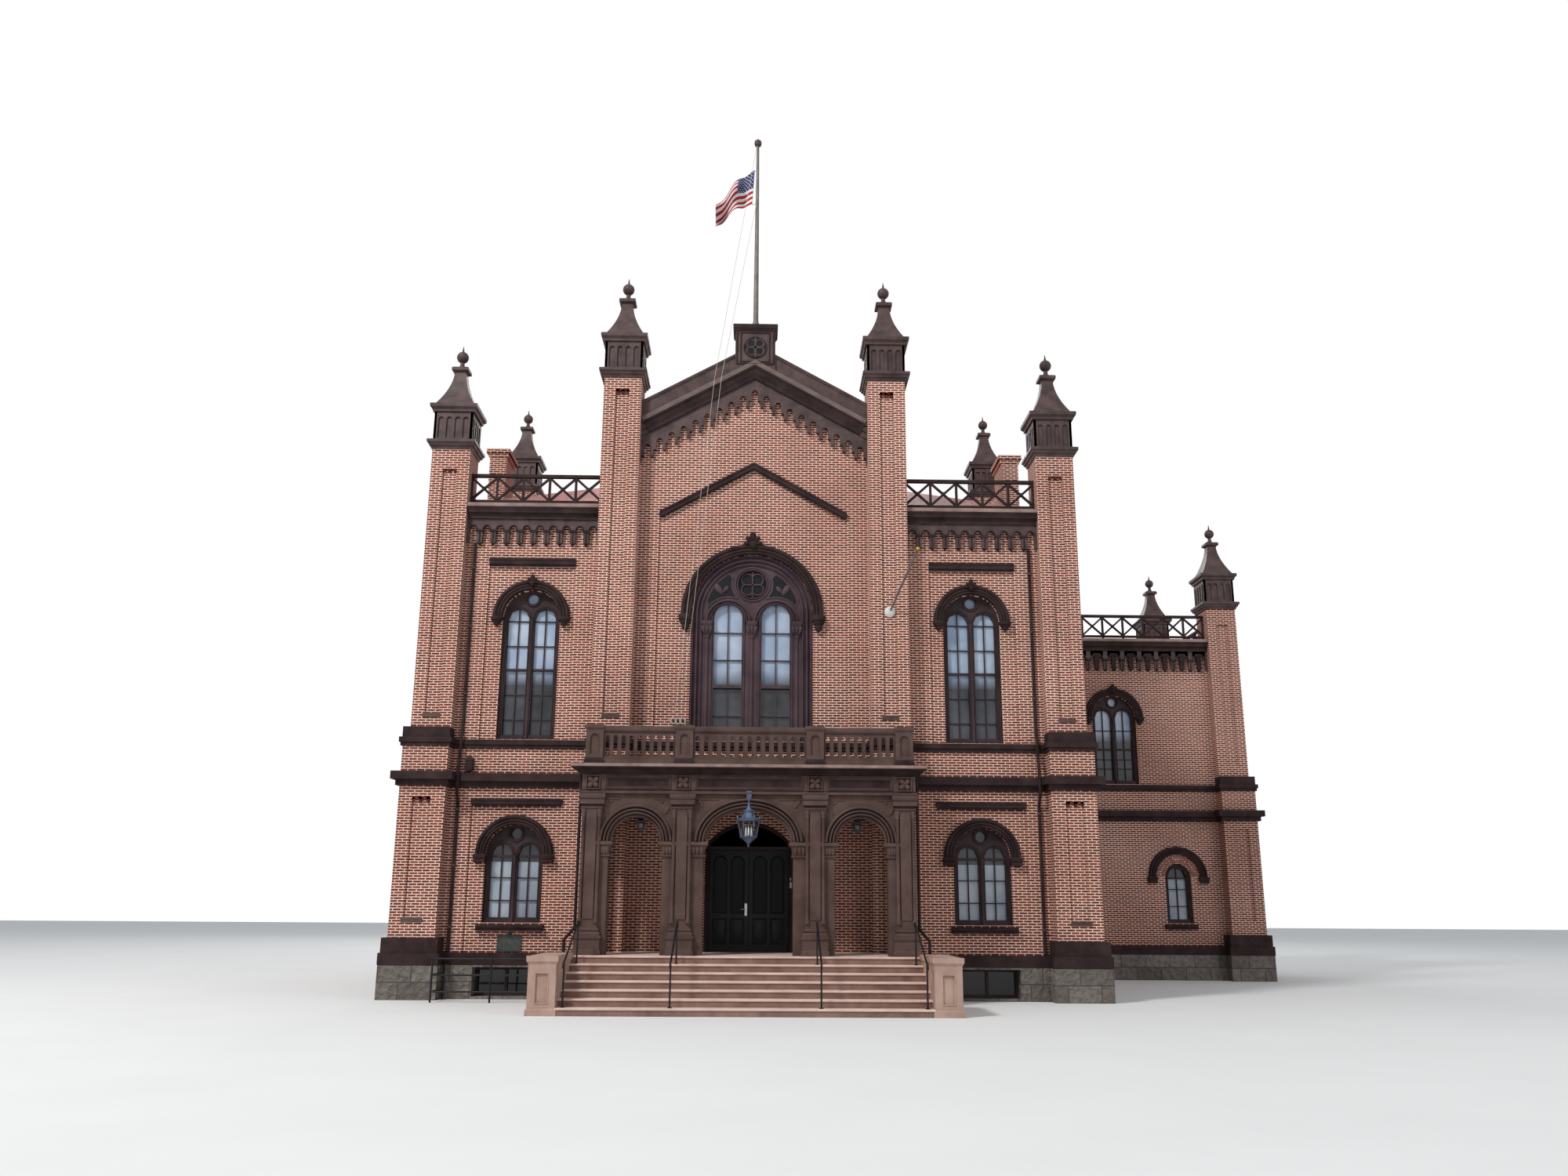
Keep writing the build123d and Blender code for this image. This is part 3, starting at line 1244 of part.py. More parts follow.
def wall_staff():
    """Slanting staff in a round socket on the right tall turret."""
    x, z = STAFF_FOOT
    seat = -TALL_OUT + PANEL_SUNK
    foot = Vector(x, seat, z)
    tip = Vector(*STAFF_TIP)
    axis = tip - foot
    ends = ((foot + axis.normalized() * STAFF_R[0], STAFF_R[0]), (tip, STAFF_R[1]))
    rings = []
    for centre, radius in ends:
        plane = Plane(origin=centre, z_dir=axis)
        rings.append([plane.from_local_coords(Vector(u, v, 0)) for u, v in polygon(radius, PIPE_SIDES)])
    rod = ringed(rings)
    ball = Pos(*STAFF_TIP) * stacked(((-STAFF_BALL, 20), (-20, STAFF_BALL), (20, STAFF_BALL), (STAFF_BALL, 20)), 6)
    radius, out = STAFF_SOCKET
    socket = Pos(x, seat - out, z) * extrude(Plane.XZ * RegularPolygon(radius, POLE_SIDES), amount=out, dir=(0, 1, 0))
    return joined([rod, ball, socket])


def rain_pipe(run, clips):
    """Pipe before a wall in the plane y = 0, along (distance before the wall, height), with its clips."""
    path = Polyline(*[(0, -out, z) for out, z in run])
    start = Plane(origin=path @ 0, z_dir=path % 0)
    pieces = [sweep(start * RegularPolygon(PIPE_R, PIPE_SIDES), path=path, transition=Transition.RIGHT)]
    for z in clips:
        pieces.append(block(-PIPE_R, PIPE_R, -run[0][0], 0, z - PIPE_R / 2, z + PIPE_R / 2))
    return joined(pieces)


def downspouts():
    """Rain pipes beside the corner turrets and beside the portico."""
    wall = Pos(-INNER + PIPE_IN, 0, 0) * rain_pipe(WALL_PIPE, PIPE_CLIPS)
    end = Pos(-PORTICO_HALF, PORTICO_PIPE_Y, 0) * Rot(0, 0, -90) * rain_pipe(PORTICO_PIPE, PORTICO_CLIPS)
    return both(wall) + both(end)


def stone_base():
    """Rough stone footing: (runs under the front bays, other runs, squares under the turrets)."""
    ring = rise(grown(PLAN_LOW, STONE_OUT), 0, STONE_TOP) - rise(INSIDE - TURRETS_HIGH, -PAST, STONE_TOP + PAST)
    ring = ring - PORTICO_ZONE - portico_floor()
    squares = rise(grown(TURRETS_LOW, STONE_OUT), 0, STONE_TOP)
    zone = block(-BODY_HALF, BODY_HALF, -WALL, WALL, 0, STONE_TOP)
    runs = ring - squares
    front = runs & zone
    for hole in both(basement_hole()):
        front -= hole
    return front, runs - zone, ring & squares


def floors():
    """Ground floor and upper floor inside the walls."""
    outline = INSIDE - TURRETS_HIGH
    ground = rise(outline, FLOOR_TOP - FLOOR_THICK, FLOOR_TOP)
    upper = rise(outline, UPPER_FLOOR_TOP - FLOOR_THICK, UPPER_FLOOR_TOP)
    return ground, upper


def water_table():
    """Brown water table over the stone, and the turrets' plinth blocks."""
    table = band(PLAN_LOW, STONE_TOP, ((0, TABLE_TOP - STONE_TOP, TABLE_OUT),))
    plinth = rise(grown(TURRETS_LOW, PLINTH_OUT), TABLE_TOP, PLINTH_TOP) - rise(PLAN_LOW, TABLE_TOP, PLINTH_TOP)
    return (table + plinth) - PORTICO_ZONE


def belts():
    """Lower belt course, and the sill belt with the turrets' pedestal blocks."""
    lower = band(PLAN_LOW, BELT_FOOT, BELT_STEPS) - PORTICO_ZONE
    upper = band(PLAN_LOW, SILL_BELT_FOOT, SILL_BELT_STEPS)
    upper -= rise(TURRETS_LOW, PEDESTAL_FOOT, PEDESTAL_TOP)
    pedestal = rise(grown(TURRETS_LOW, PEDESTAL_OUT), PEDESTAL_FOOT, PEDESTAL_TOP)
    pedestal -= rise(PLAN_HIGH, PEDESTAL_FOOT - PAST, PEDESTAL_TOP + PAST)
    return lower, upper + pedestal


def main():
    cutters, upper_frames, lower_frames, hoods, panes = make_windows()
    walls = make_walls(cutters)
    write("front_wall_left", walls["front_left"])
    write("front_wall_right", walls["front_right"])
    write("left_wall", walls["left"])
    write("right_wall", walls["right"])
    write("rear_wall", walls["rear"])
    write("wing_walls", [walls["wing_front"], walls["wing_side"], walls["wing_rear"]])
    side, over = centre_walls()
    write("entrance_wall_left", side)
    write("entrance_wall_right", mirror(side, about=Plane.YZ))
    write("centre_wall", over)
    write("gable_wall", gable_wall())
    front, back, footings = stone_base()
    write("stone_base_front", front)
    write("stone_base_back", back)
    write("turret_footings", footings)
    ground, upper = floors()
    write("ground_floor", ground)
    write("upper_floor", upper)
    spires = {near: spire(near) for near in (True, False)}
    for group in HIGH:
        top = TURRET_TOPS[group][0]
        rects = zip(LOW[group], HIGH[group], PANEL_SIDES[group])
        write(f"{group}_turrets", [shaft(group, low, high, sides) for low, high, sides in rects])
        write(f"{group}_spires", [on_shaft(spires[group in NEAR_GROUPS], high, top) for high in HIGH[group]])
    write("water_table", water_table())
    lower, sill_belt = belts()
    write("lower_belt_course", lower)
    write("sill_belt_course", sill_belt)
    write("roof_cornices", roof_cornices())
    write("gable_cornice", gable_cornice())
    labels = both(label_moulding(UPPER_FIELD, UPPER_LABEL)) + both(label_moulding(LOWER_FIELD, LOWER_LABEL))
    write("label_mouldings", labels + [gable_label()])
    great_hood = window_hood(GREAT_HALF, GREAT_SPRING, GREAT_HOOD, FIELD_SUNK, GREAT_CHORDS)
    hoods.append(Pos(0, FIELD_SUNK, 0) * great_hood)
    write("window_hoods", hoods)
    write("gable_apex_block", apex_block())
    write("flagpole", [flagpole(), wall_staff()])
    rails = railings()
    write("front_railings", rails["front"])
    write("back_railings", rails["back"])
    write("wing_railings", rails["wing"])
    write("main_roof", main_roof())
    write("wing_roof", wing_roof())
    write("chimneys", both(chimney()))
    write("upper_window_frames", upper_frames)
    write("lower_window_frames", lower_frames + both(basement_frame()))
    write("central_window_frame", great_frame())
    panes.append(window_glass(GREAT_HALF, GREAT_FOOT, GREAT_SPRING))
    write("window_glass", panes + both(basement_pane()))
    write("portico_arcade", portico_arcade())
    write("portico_ends", both(portico_end()))
    pilasters = [pilaster(side * x) for x in PILASTER_X for side in (-1, 1)]
    write("portico_pilasters", pilasters)
    mouldings = [arch_moulding(0, CENTRE_ARCH_HALF, CENTRE_ARCH_RISE)]
    mouldings += both(arch_moulding(-SIDE_ARCH_X, SIDE_ARCH_HALF, SIDE_ARCH_HALF))
    write("portico_arch_mouldings", [moulding.cut(*pilasters) for moulding in mouldings])
    write("portico_frieze", portico_frieze())
    write("portico_roof", portico_roof())
    write("portico_parapet", portico_parapet() - sill_belt)
    write("portico_floor", portico_floor())
    write("front_steps", front_steps())
    write("step_cheeks", both(step_cheek()))
    rails = [handrail(side * x) for x in RAIL_X for side in (-1, 1)]
    write("handrails", rails + [area_rail()])
    write("lantern", [lantern()] + both(small_lantern()))
    write("door_frame", door_frame())
    leaf = door_leaf()
    write("door_leaf_left", joined([leaf] + lever()))
    write("door_leaf_right", mirror(leaf, about=Plane.YZ))
    write("downspouts", downspouts())


main()
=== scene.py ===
"""Town hall: finishes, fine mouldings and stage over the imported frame. Metres, Z up, front towards -Y."""
import math
import bpy
import numpy as np
from mathutils import Matrix, Vector


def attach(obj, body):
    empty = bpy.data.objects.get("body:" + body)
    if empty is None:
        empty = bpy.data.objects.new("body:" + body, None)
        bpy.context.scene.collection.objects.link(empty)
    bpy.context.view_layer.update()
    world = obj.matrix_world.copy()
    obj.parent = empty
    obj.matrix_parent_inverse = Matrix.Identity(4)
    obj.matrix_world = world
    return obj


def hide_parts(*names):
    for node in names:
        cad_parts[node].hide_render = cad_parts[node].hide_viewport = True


bl_info = {
    "name": "Town hall",
    "version": (1, 0, 0),
    "blender": (4, 5, 0),
    "location": "3D View > Sidebar > Town hall",
    "description": "Dresses the town hall frame with its finishes and fine pieces",
    "category": "Object",
}

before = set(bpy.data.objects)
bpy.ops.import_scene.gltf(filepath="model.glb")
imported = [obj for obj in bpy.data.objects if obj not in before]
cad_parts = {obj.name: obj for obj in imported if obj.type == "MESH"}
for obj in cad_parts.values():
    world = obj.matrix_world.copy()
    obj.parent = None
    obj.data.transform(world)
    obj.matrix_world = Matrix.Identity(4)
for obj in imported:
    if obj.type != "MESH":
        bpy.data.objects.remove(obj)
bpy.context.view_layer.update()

# Levels and places of the frame that the pieces here follow, in metres
BODY_HALF, BODY_DEPTH = 8.41, 19.2
INNER = 7.73                    # inner side of the corner turrets
TALL_INNER, TALL_EDGE = 3.125, 4.155    # sides of the tall turrets
WING_START, WING_INNER, WING_EDGE = 8.76, 15.97, 16.65
WING_FRONT, WING_BACK = 10.6, 18.2
WALL_TOP, WING_DROP = 12.8, 1.3
SLOPE = 0.56                    # rise of the gable over its run
FIELD = 0.05                    # depth of the sunk fields of the front bays
FRAME_Y = 0.12                  # front of a window frame behind its wall
FRAME_SIDE, MULLION = 0.13, 0.16
POLE_Y = 0.1
PORTICO_FRONT, SPRINGING = -2.45, 3.73
FLOOR_TOP = 1.14                # floor of the portico, seven risers above the ground
RISER, RUN = FLOOR_TOP / 7, 0.38
RAILING_BAY = 0.72
WING_BAYS = 12                  # corbelled bays under the wing's eaves

# Windows: half width, foot, springing, hood width, lights
UPPER = (0.76, 6.45, 9.7, 0.26, 2)
LOWER = (0.74, 1.825, 3.515, 0.245, 2)
WING_UPPER = (0.76, 6.45, 8.75, 0.26, 2)
WING_LOWER = (0.44, 1.825, 3.34, 0.26, 1)
UPSTAIRS = 5.0                  # a window with its foot above this level is upstairs
UPPER_X, LOWER_X = 5.888, 5.985
BAY_MIDDLES = (5.125, 14.565)   # middles of the side bays
GREAT_HALF, GREAT_FOOT, GREAT_SPRING = 1.625, 6.45, 9.885
RING_SPRING, EYE = 9.66, 10.7   # springing of the great window's paired rings, and middle of its eye


# Arrays. A part is (points, [face arrays]); each face array holds rows of corner numbers.


def volume(part):
    """Signed volume of a closed part: the sum of the pyramids from its centre to a fan over every face."""
    points, faces = part
    points = points - points.mean(axis=0)
    total = 0.0
    for rows in faces:
        first = points[rows[:, 0]]
        for index in range(1, rows.shape[1] - 1):
            total += np.einsum("ij,ij->", first, np.cross(points[rows[:, index]], points[rows[:, index + 1]]))
    return total


def outward(part):
    """The part with its faces turned outwards."""
    points, faces = part
    if volume(part) < 0:
        faces = [rows[:, ::-1] for rows in faces]
    return points, faces


def skin(points, ring=False):
    """Quads between the rows of an array (rows, columns, 3), closed round the columns.

    Face (i, j) joins points i, i+1 along the rows and j, j+1 round the columns. The two end rows are closed
    by one face each, or with ring the last row joins the first."""
    rows, columns = points.shape[:2]
    number = np.arange(rows * columns).reshape(rows, columns)
    upper = np.roll(number, -1, axis=0) if ring else number[1:]
    lower = number if ring else number[:-1]
    quads = np.stack([lower, np.roll(lower, -1, 1), np.roll(upper, -1, 1), upper], axis=-1).reshape(-1, 4)
    faces = [quads]
    if not ring:
        faces += [number[:1, ::-1], number[-1:]]
    return outward((points.reshape(-1, 3), faces))


def merged(*parts):
    """One part from several."""
    points, faces, count = [], [], 0
    for part in parts:
        points.append(part[0])
        faces += [rows + count for rows in part[1]]
        count += len(part[0])
    return np.concatenate(points), faces


def copies(part, shifts):
    """The part at every shift of an array (n, 3)."""
    shifts = np.reshape(np.asarray(shifts, float), (-1, 3))
    points = (part[0][None] + shifts[:, None]).reshape(-1, 3)
    step = np.arange(len(shifts)) * len(part[0])
    return points, [(rows[None] + step[:, None, None]).reshape(-1, rows.shape[1]) for rows in part[1]]


def mirrored(part):
    """The part with its mirror image across the centre line."""
    points, faces = part
    return merged(part, (points * (-1, 1, 1), [rows[:, ::-1] for rows in faces]))


def turned(part, quarter, shift=(0, 0, 0)):
    """The part turned by quarter turns about the vertical through the origin, then moved."""
    cos, sin = round(math.cos(quarter * math.pi / 2)), round(math.sin(quarter * math.pi / 2))
    x, y, z = part[0].T
    return np.stack([cos * x - sin * y, sin * x + cos * y, z], axis=1) + shift, part[1]


def tipped(part, x, y, z, side):
    """The part tipped over to the wall, so that its height runs along y, towards the given side."""
    across, up, out = part[0].T
    return outward((np.stack([across + x, y + side * out, up + z], axis=-1), part[1]))


def upright(line, y, x=0.0):
    """The (x, z) points of a line, stood up at depth y and moved along by x."""
    return np.stack([x + line[:, 0], np.full(len(line), y), line[:, 1]], axis=-1)


def slab(outline, *depths):
    """Closed outline in a wall's plane, carried along y by each of the depths in turn."""
    return skin(np.stack([outline + (0, depth, 0) for depth in depths]))


def prism(section, x0, x1):
    """Closed outline of (y, z) points, carried from x0 to x1."""
    return skin(np.stack([np.column_stack([np.full(len(section), x), section]) for x in (x0, x1)]))


def tablet(x, z, rows):
    """Raised or sunk tablet: a rectangle of half width w and half height h at depth y for each (w, h, y)."""
    return skin(np.array([[(x - w, y, z - h), (x + w, y, z - h), (x + w, y, z + h), (x - w, y, z + h)]
                          for w, h, y in rows]))


def boxes(rows):
    """Boxes from rows (x0, x1, y0, y1, z0, z1)."""
    rows = np.reshape(np.asarray(rows, float), (-1, 6))
    pick = np.array([(0, 2, 4), (1, 2, 4), (1, 3, 4), (0, 3, 4), (0, 2, 5), (1, 2, 5), (1, 3, 5), (0, 3, 5)])
    points = rows[:, pick].reshape(-1, 3)
    sides = np.array([(3, 2, 1, 0), (4, 5, 6, 7), (0, 1, 5, 4), (1, 2, 6, 5), (2, 3, 7, 6), (3, 0, 4, 7)])
    return points, [(sides[None] + 8 * np.arange(len(rows))[:, None, None]).reshape(-1, 4)]


def lathe(profile, sides, x=0.0, y=0.0, turn=0.0):
    """Turned form: radius r at height z for each (z, r) of the profile, with the ends closed flat."""
    z, r = np.asarray(profile, float).T
    angle = np.radians(turn) + 2 * np.pi * np.arange(sides) / sides
    ring = np.stack([np.cos(angle), np.sin(angle), np.zeros(sides)], axis=-1)
    return skin(r[:, None, None] * ring + np.stack([x + 0 * z, y + 0 * z, z], axis=-1)[:, None])


def block(profile, x=0.0, y=0.0):
    """Square form: half width h at height z for each (z, h) of the profile."""
    z, half = np.asarray(profile, float).T
    return lathe(np.stack([z, half * math.sqrt(2)], axis=-1), 4, x, y, 45)


def swept(path, section, normal=(0, -1, 0), ring=False):
    """A section carried along a path.

    Point (i, j) is path i, plus section j's first number along the mitred side there, plus its second
    along the fixed normal. The side is the normal crossed with the run, scaled so that runs keep their
    width. It points into an arch, so a section times (-1, 1) lies outside one."""
    path = np.asarray(path, float)
    normal = np.asarray(normal, float)
    runs = np.diff(np.concatenate([path, path[:1]]) if ring else path, axis=0)
    runs /= np.linalg.norm(runs, axis=1)[:, None]
    before = np.roll(runs, 1, axis=0) if ring else np.concatenate([runs[:1], runs])
    after = runs if ring else np.concatenate([runs, runs[-1:]])
    one, two = np.cross(normal, before), np.cross(normal, after)
    one /= np.linalg.norm(one, axis=1)[:, None]
    two /= np.linalg.norm(two, axis=1)[:, None]
    side = (one + two) / (1 + np.einsum("ij,ij->i", one, two))[:, None]
    section = np.asarray(section, float)
    points = path[:, None] + section[None, :, :1] * side[:, None] + section[None, :, 1:] * normal
    return skin(points, ring=ring)


def disc(radius, sides):
    """Round section."""
    angle = 2 * np.pi * (np.arange(sides) + 0.5) / sides
    return radius * np.stack([np.cos(angle), np.sin(angle)], axis=-1)


def rolls(start, widths, depths, base=0.0):
    """Section with half-round rolls side by side: each bulges from base by its depth across its width."""
    points = [(start, 0.0)]
    for width, depth in zip(widths, depths):
        share = np.linspace(0, 1, 6)
        bulge = base + depth * np.sqrt(np.clip(1 - (2 * share - 1) ** 2, 0, 1))
        points += list(zip(start + width * share, bulge))
        start += width
    points.append((start, 0.0))
    return np.array(points)


def arch(x, half, foot, spring, rise=None, y=0.0, chords=24):
    """Path up one side, round an arched head and down the other: x + half cos t, spring + rise sin t."""
    rise = half if rise is None else rise
    t = np.linspace(0, np.pi, chords + 1)
    curve = np.stack([x + half * np.cos(t), np.full(chords + 1, y), spring + rise * np.sin(t)], axis=-1)
    return np.concatenate([[(x + half, y, foot)], curve, [(x - half, y, foot)]]) if foot < spring else curve


def circle(x, z, radius, y, chords=24):
    """Closed round path in a wall's plane."""
    t = 2 * np.pi * np.arange(chords) / chords
    return np.stack([x + radius * np.cos(t), np.full(chords, y), z + radius * np.sin(t)], axis=-1)


def oblong(x0, x1, z0, z1, y):
    """Closed rectangular path in a wall's plane."""
    return np.array([(x1, y, z0), (x1, y, z1), (x0, y, z1), (x0, y, z0)], float)


def course(path, profile, ring=False):
    """Level moulding along a path in plan, with its outside on the path's right.

    It stands out by o at height z for each (z, o) of the profile."""
    profile = np.asarray(profile, float)
    section = np.concatenate([profile[:, ::-1] * (-1, 1), [(0.02, profile[-1, 0]), (0.02, profile[0, 0])]])
    return swept([(x, y, 0.0) for x, y in path], section, normal=(0, 0, 1), ring=ring)


def around(x, y0, y1, half):
    """Plan path round the three free sides of a block that stands out from a wall at y0 to y1."""
    return [(x - half, y0), (x - half, y1), (x + half, y1), (x + half, y0)]


def leaf(x, y, z, width, height, depth, lean=0.0):
    """Carved leaf: an egg from its foot at (x, z), with radius sin s (1 - 0.25 cos s), leaning by degrees."""
    s = np.linspace(0.08, np.pi - 0.08, 9)
    t = 2 * np.pi * np.arange(10) / 10
    radius = (np.sin(s) * (1 - 0.25 * np.cos(s)))[:, None]
    across = width / 2 * radius * np.cos(t)
    out = depth * radius * np.sin(t)
    along = (height * (1 - np.cos(s)) / 2)[:, None] + 0 * across
    a = math.radians(lean)
    points = np.stack([x + across * math.cos(a) + along * math.sin(a), y + out,
                       z - across * math.sin(a) + along * math.cos(a)], axis=-1)
    return skin(points)


def crest(x, y, z, size):
    """Carved crest: a tall leaf between two shorter ones, over two side curls and a small shield."""
    parts = [leaf(x, y, z + 0.2 * size, 0.42 * size, 0.8 * size, 0.2 * size)]
    for side in (-1, 1):
        parts.append(leaf(x + side * 0.06 * size, y, z + 0.2 * size, 0.3 * size, 0.62 * size,
                          0.18 * size, side * 38))
        parts.append(leaf(x + side * 0.1 * size, y, z + 0.16 * size, 0.26 * size, 0.5 * size,
                          0.16 * size, side * 78))
    parts.append(leaf(x, y - 0.02, z - 0.2 * size, 0.5 * size, 0.55 * size, 0.22 * size))
    return merged(*parts)


def rod(path, radius, sides=8, normal=(1, 0, 0)):
    """Round bar along a path that lies square to the normal."""
    return swept(path, disc(radius, sides), normal=normal)


def niche(x0, x1, z0, z1, half, foot, spring, y, sunk, back, chords, through=False):
    """Slab from y to back with one round-headed recess in its front, or a hole right through it.

    Rows of the surface: the slab's outline behind and in front, the recess's outline in front and sunk. Each
    outline point of the slab lies where the ray from the springing's middle meets the slab's edge."""
    wide, high = (x1 - x0) / 2, z1 - spring
    corner = math.atan2(high, wide)
    t = np.unique(np.concatenate([np.linspace(0, np.pi, chords + 1), [corner, np.pi - corner]]))
    reach = np.minimum(wide / np.maximum(np.abs(np.cos(t)), 1e-9), high / np.maximum(np.sin(t), 1e-9))
    inner = np.stack([half * np.cos(t), spring + half * np.sin(t)], axis=-1)
    outer = np.stack([reach * np.cos(t), spring + reach * np.sin(t)], axis=-1)
    inner = np.concatenate([[(-half, foot), (half, foot)], inner])
    outer = np.concatenate([[(-wide, z0), (wide, z0)], outer])
    lines = ((outer, back), (outer, y), (inner, y), (inner, back if through else y + sunk))
    return skin(np.stack([upright(line, depth, (x0 + x1) / 2) for line, depth in lines]), ring=through)


def make(name, part, slot, body="building", replaces=(), angle=40, bevel=0.0):
    """One mesh object from a part, with its finish, riding on its body."""
    points, faces = part
    mesh = bpy.data.meshes.new(name)
    mesh.vertices.add(len(points))
    mesh.vertices.foreach_set("co", points.astype(np.float32).ravel())
    sizes = np.concatenate([np.full(len(rows), rows.shape[1]) for rows in faces])
    mesh.loops.add(int(sizes.sum()))
    mesh.loops.foreach_set("vertex_index", np.concatenate([rows.ravel() for rows in faces]).astype(np.int32))
    mesh.polygons.add(len(sizes))
    mesh.polygons.foreach_set("loop_start", (np.cumsum(sizes) - sizes).astype(np.int32))
    mesh.polygons.foreach_set("loop_total", sizes.astype(np.int32))
    mesh.update(calc_edges=True)
    mesh.polygons.foreach_set("use_smooth", np.ones(len(sizes), bool))
    mesh.set_sharp_from_angle(angle=math.radians(angle))
    piece = bpy.data.objects.new(name, mesh)
    bpy.context.scene.collection.objects.link(piece)
    mesh.materials.append(bpy.data.materials[slot + "_finish"])
    if bevel:
        edges = piece.modifiers.new("edges", "BEVEL")
        edges.width = bevel
        edges.segments = 2
        edges.limit_method = "ANGLE"
        edges.harden_normals = True
    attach(piece, body)
    if replaces:
        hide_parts(*replaces)
    return piece


# Finishes


class Graph:
    """Node tree of one material, built with short calls."""

    def __init__(self, name):
        self.material = bpy.data.materials.new(name + "_finish")
        self.material.use_nodes = True
        self.tree = self.material.node_tree
        self.tree.nodes.clear()
        place = self.add("ShaderNodeTexCoord").outputs
        self.object, self.normal = place["Object"], place["Normal"]
        self.shader = self.add("ShaderNodeBsdfPrincipled")
        self.wire(self.shader.outputs[0], self.add("ShaderNodeOutputMaterial").inputs["Surface"])

    def wire(self, value, socket):
        """Wires another socket to this one, or sets its value."""
        if isinstance(value, bpy.types.NodeSocket):
            self.tree.links.new(value, socket)
        else:
            socket.default_value = value

    def add(self, kind, settings=None, **values):
        """A node with its settings, and its sockets wired or set by name, or by number as i0 or i6."""
        node = self.tree.nodes.new(kind)
        for key, value in (settings or {}).items():
            setattr(node, key, value)
        for key, value in values.items():
            self.wire(value, node.inputs[int(key[1:]) if key[1:].isdigit() else key.replace("_", " ")])
        return node

    def math(self, operation, a, b=0.0, c=0.0):
        """One operation on up to three values."""
        return self.add("ShaderNodeMath", {"operation": operation}, i0=a, i1=b, i2=c).outputs[0]

    def mix(self, share, a, b, blend="MIX"):
        """Colour a, with the given share of colour b."""
        node = self.add("ShaderNodeMix", {"data_type": "RGBA", "blend_type": blend}, i0=share, i6=a, i7=b)
        return node.outputs[2]

    def split(self, vector):
        """The three parts of a vector."""
        return self.add("ShaderNodeSeparateXYZ", Vector=vector).outputs

    def noise(self, scale, detail=3.0, rough=0.55, vector=None):
        """Cloudy noise from 0 to 1 over the object's own coordinates, or over a given vector."""
        return self.add("ShaderNodeTexNoise", Vector=vector or self.object, Scale=scale, Detail=detail,
                        Roughness=rough).outputs["Fac"]

    def ramp(self, value, low, high):
        """The value's share of the way from low to high, held between 0 and 1."""
        return self.add("ShaderNodeMapRange", Value=value, From_Min=low, From_Max=high).outputs[0]

    def bump(self, height, distance, strength=1.0):
        """Relief of the surface from a height of 0 to 1."""
        node = self.add("ShaderNodeBump", Height=height, Distance=distance, Strength=strength)
        self.wire(node.outputs[0], self.shader.inputs["Normal"])

    def set(self, **values):
        """Wires or sets the shader's sockets by name."""
        for key, value in values.items():
            self.wire(value, self.shader.inputs[key.replace("_", " ")])


def rgb(red, green, blue):
    """Linear colour from screen values of 0 to 255."""
    return (*[(value / 255) ** 2.2 for value in (red, green, blue)], 1.0)


def wall_vector(graph):
    """Coordinates across and up a wall: x or y by the way the wall faces, then height."""
    normal, place = graph.split(graph.normal), graph.split(graph.object)
    sideways = graph.math("GREATER_THAN", graph.math("ABSOLUTE", normal[0]), 0.6)
    across = graph.add("ShaderNodeMix", Factor=sideways, A=place[0], B=place[1]).outputs[0]
    return graph.add("ShaderNodeCombineXYZ", X=across, Y=place[2]).outputs[0]


def brick(settings):
    """Salmon brickwork: wide cream joints, each brick its own tone, and broad weather stains."""
    graph = Graph("brick")
    bond = graph.add("ShaderNodeTexBrick", {"offset": 0.5}, Vector=wall_vector(graph),
                     Color1=rgb(150, 77, 58), Color2=rgb(96, 50, 41), Mortar=rgb(251, 222, 205), Scale=1.0,
                     Bias=-0.1, Mortar_Size=settings.joint_width / 2, Mortar_Smooth=0.12,
                     Brick_Width=settings.brick_length, Row_Height=settings.brick_course)
    tone = bond.outputs["Color"]
    stain = graph.ramp(graph.noise(0.35, 4.0), 0.3, 0.75)
    colour = graph.mix(stain, graph.mix(1.0, tone, rgb(222, 212, 208), "MULTIPLY"), tone)
    fine = graph.ramp(graph.noise(28.0, 4.0), 0.4, 0.75)
    colour = graph.mix(graph.math("MULTIPLY", fine, 0.22), colour, rgb(96, 62, 56))
    graph.set(Base_Color=colour, Roughness=0.92, Specular_IOR_Level=0.08)
    grit = graph.math("MULTIPLY", graph.noise(60.0), 0.3)
    graph.bump(graph.math("MULTIPLY_ADD", bond.outputs["Fac"], -1.0, grit), 0.012)
    return graph.material


def stone(name, light, dark, scale, rough, bump=0.003, flecks=0.25):
    """Painted or weathered stone: two tones in soft patches, fine grain and dull gloss."""
    graph = Graph(name)
    patches = graph.ramp(graph.noise(scale, 5.0, 0.6), 0.32, 0.7)
    grain = graph.noise(scale * 24, 4.0, 0.65)
    colour = graph.mix(patches, light, dark)
    colour = graph.mix(graph.math("MULTIPLY", graph.ramp(grain, 0.45, 0.75), flecks), colour, dark)
    graph.set(Base_Color=colour, Roughness=rough, Specular_IOR_Level=0.12)
    graph.bump(grain, bump, 0.6)
    return graph.material


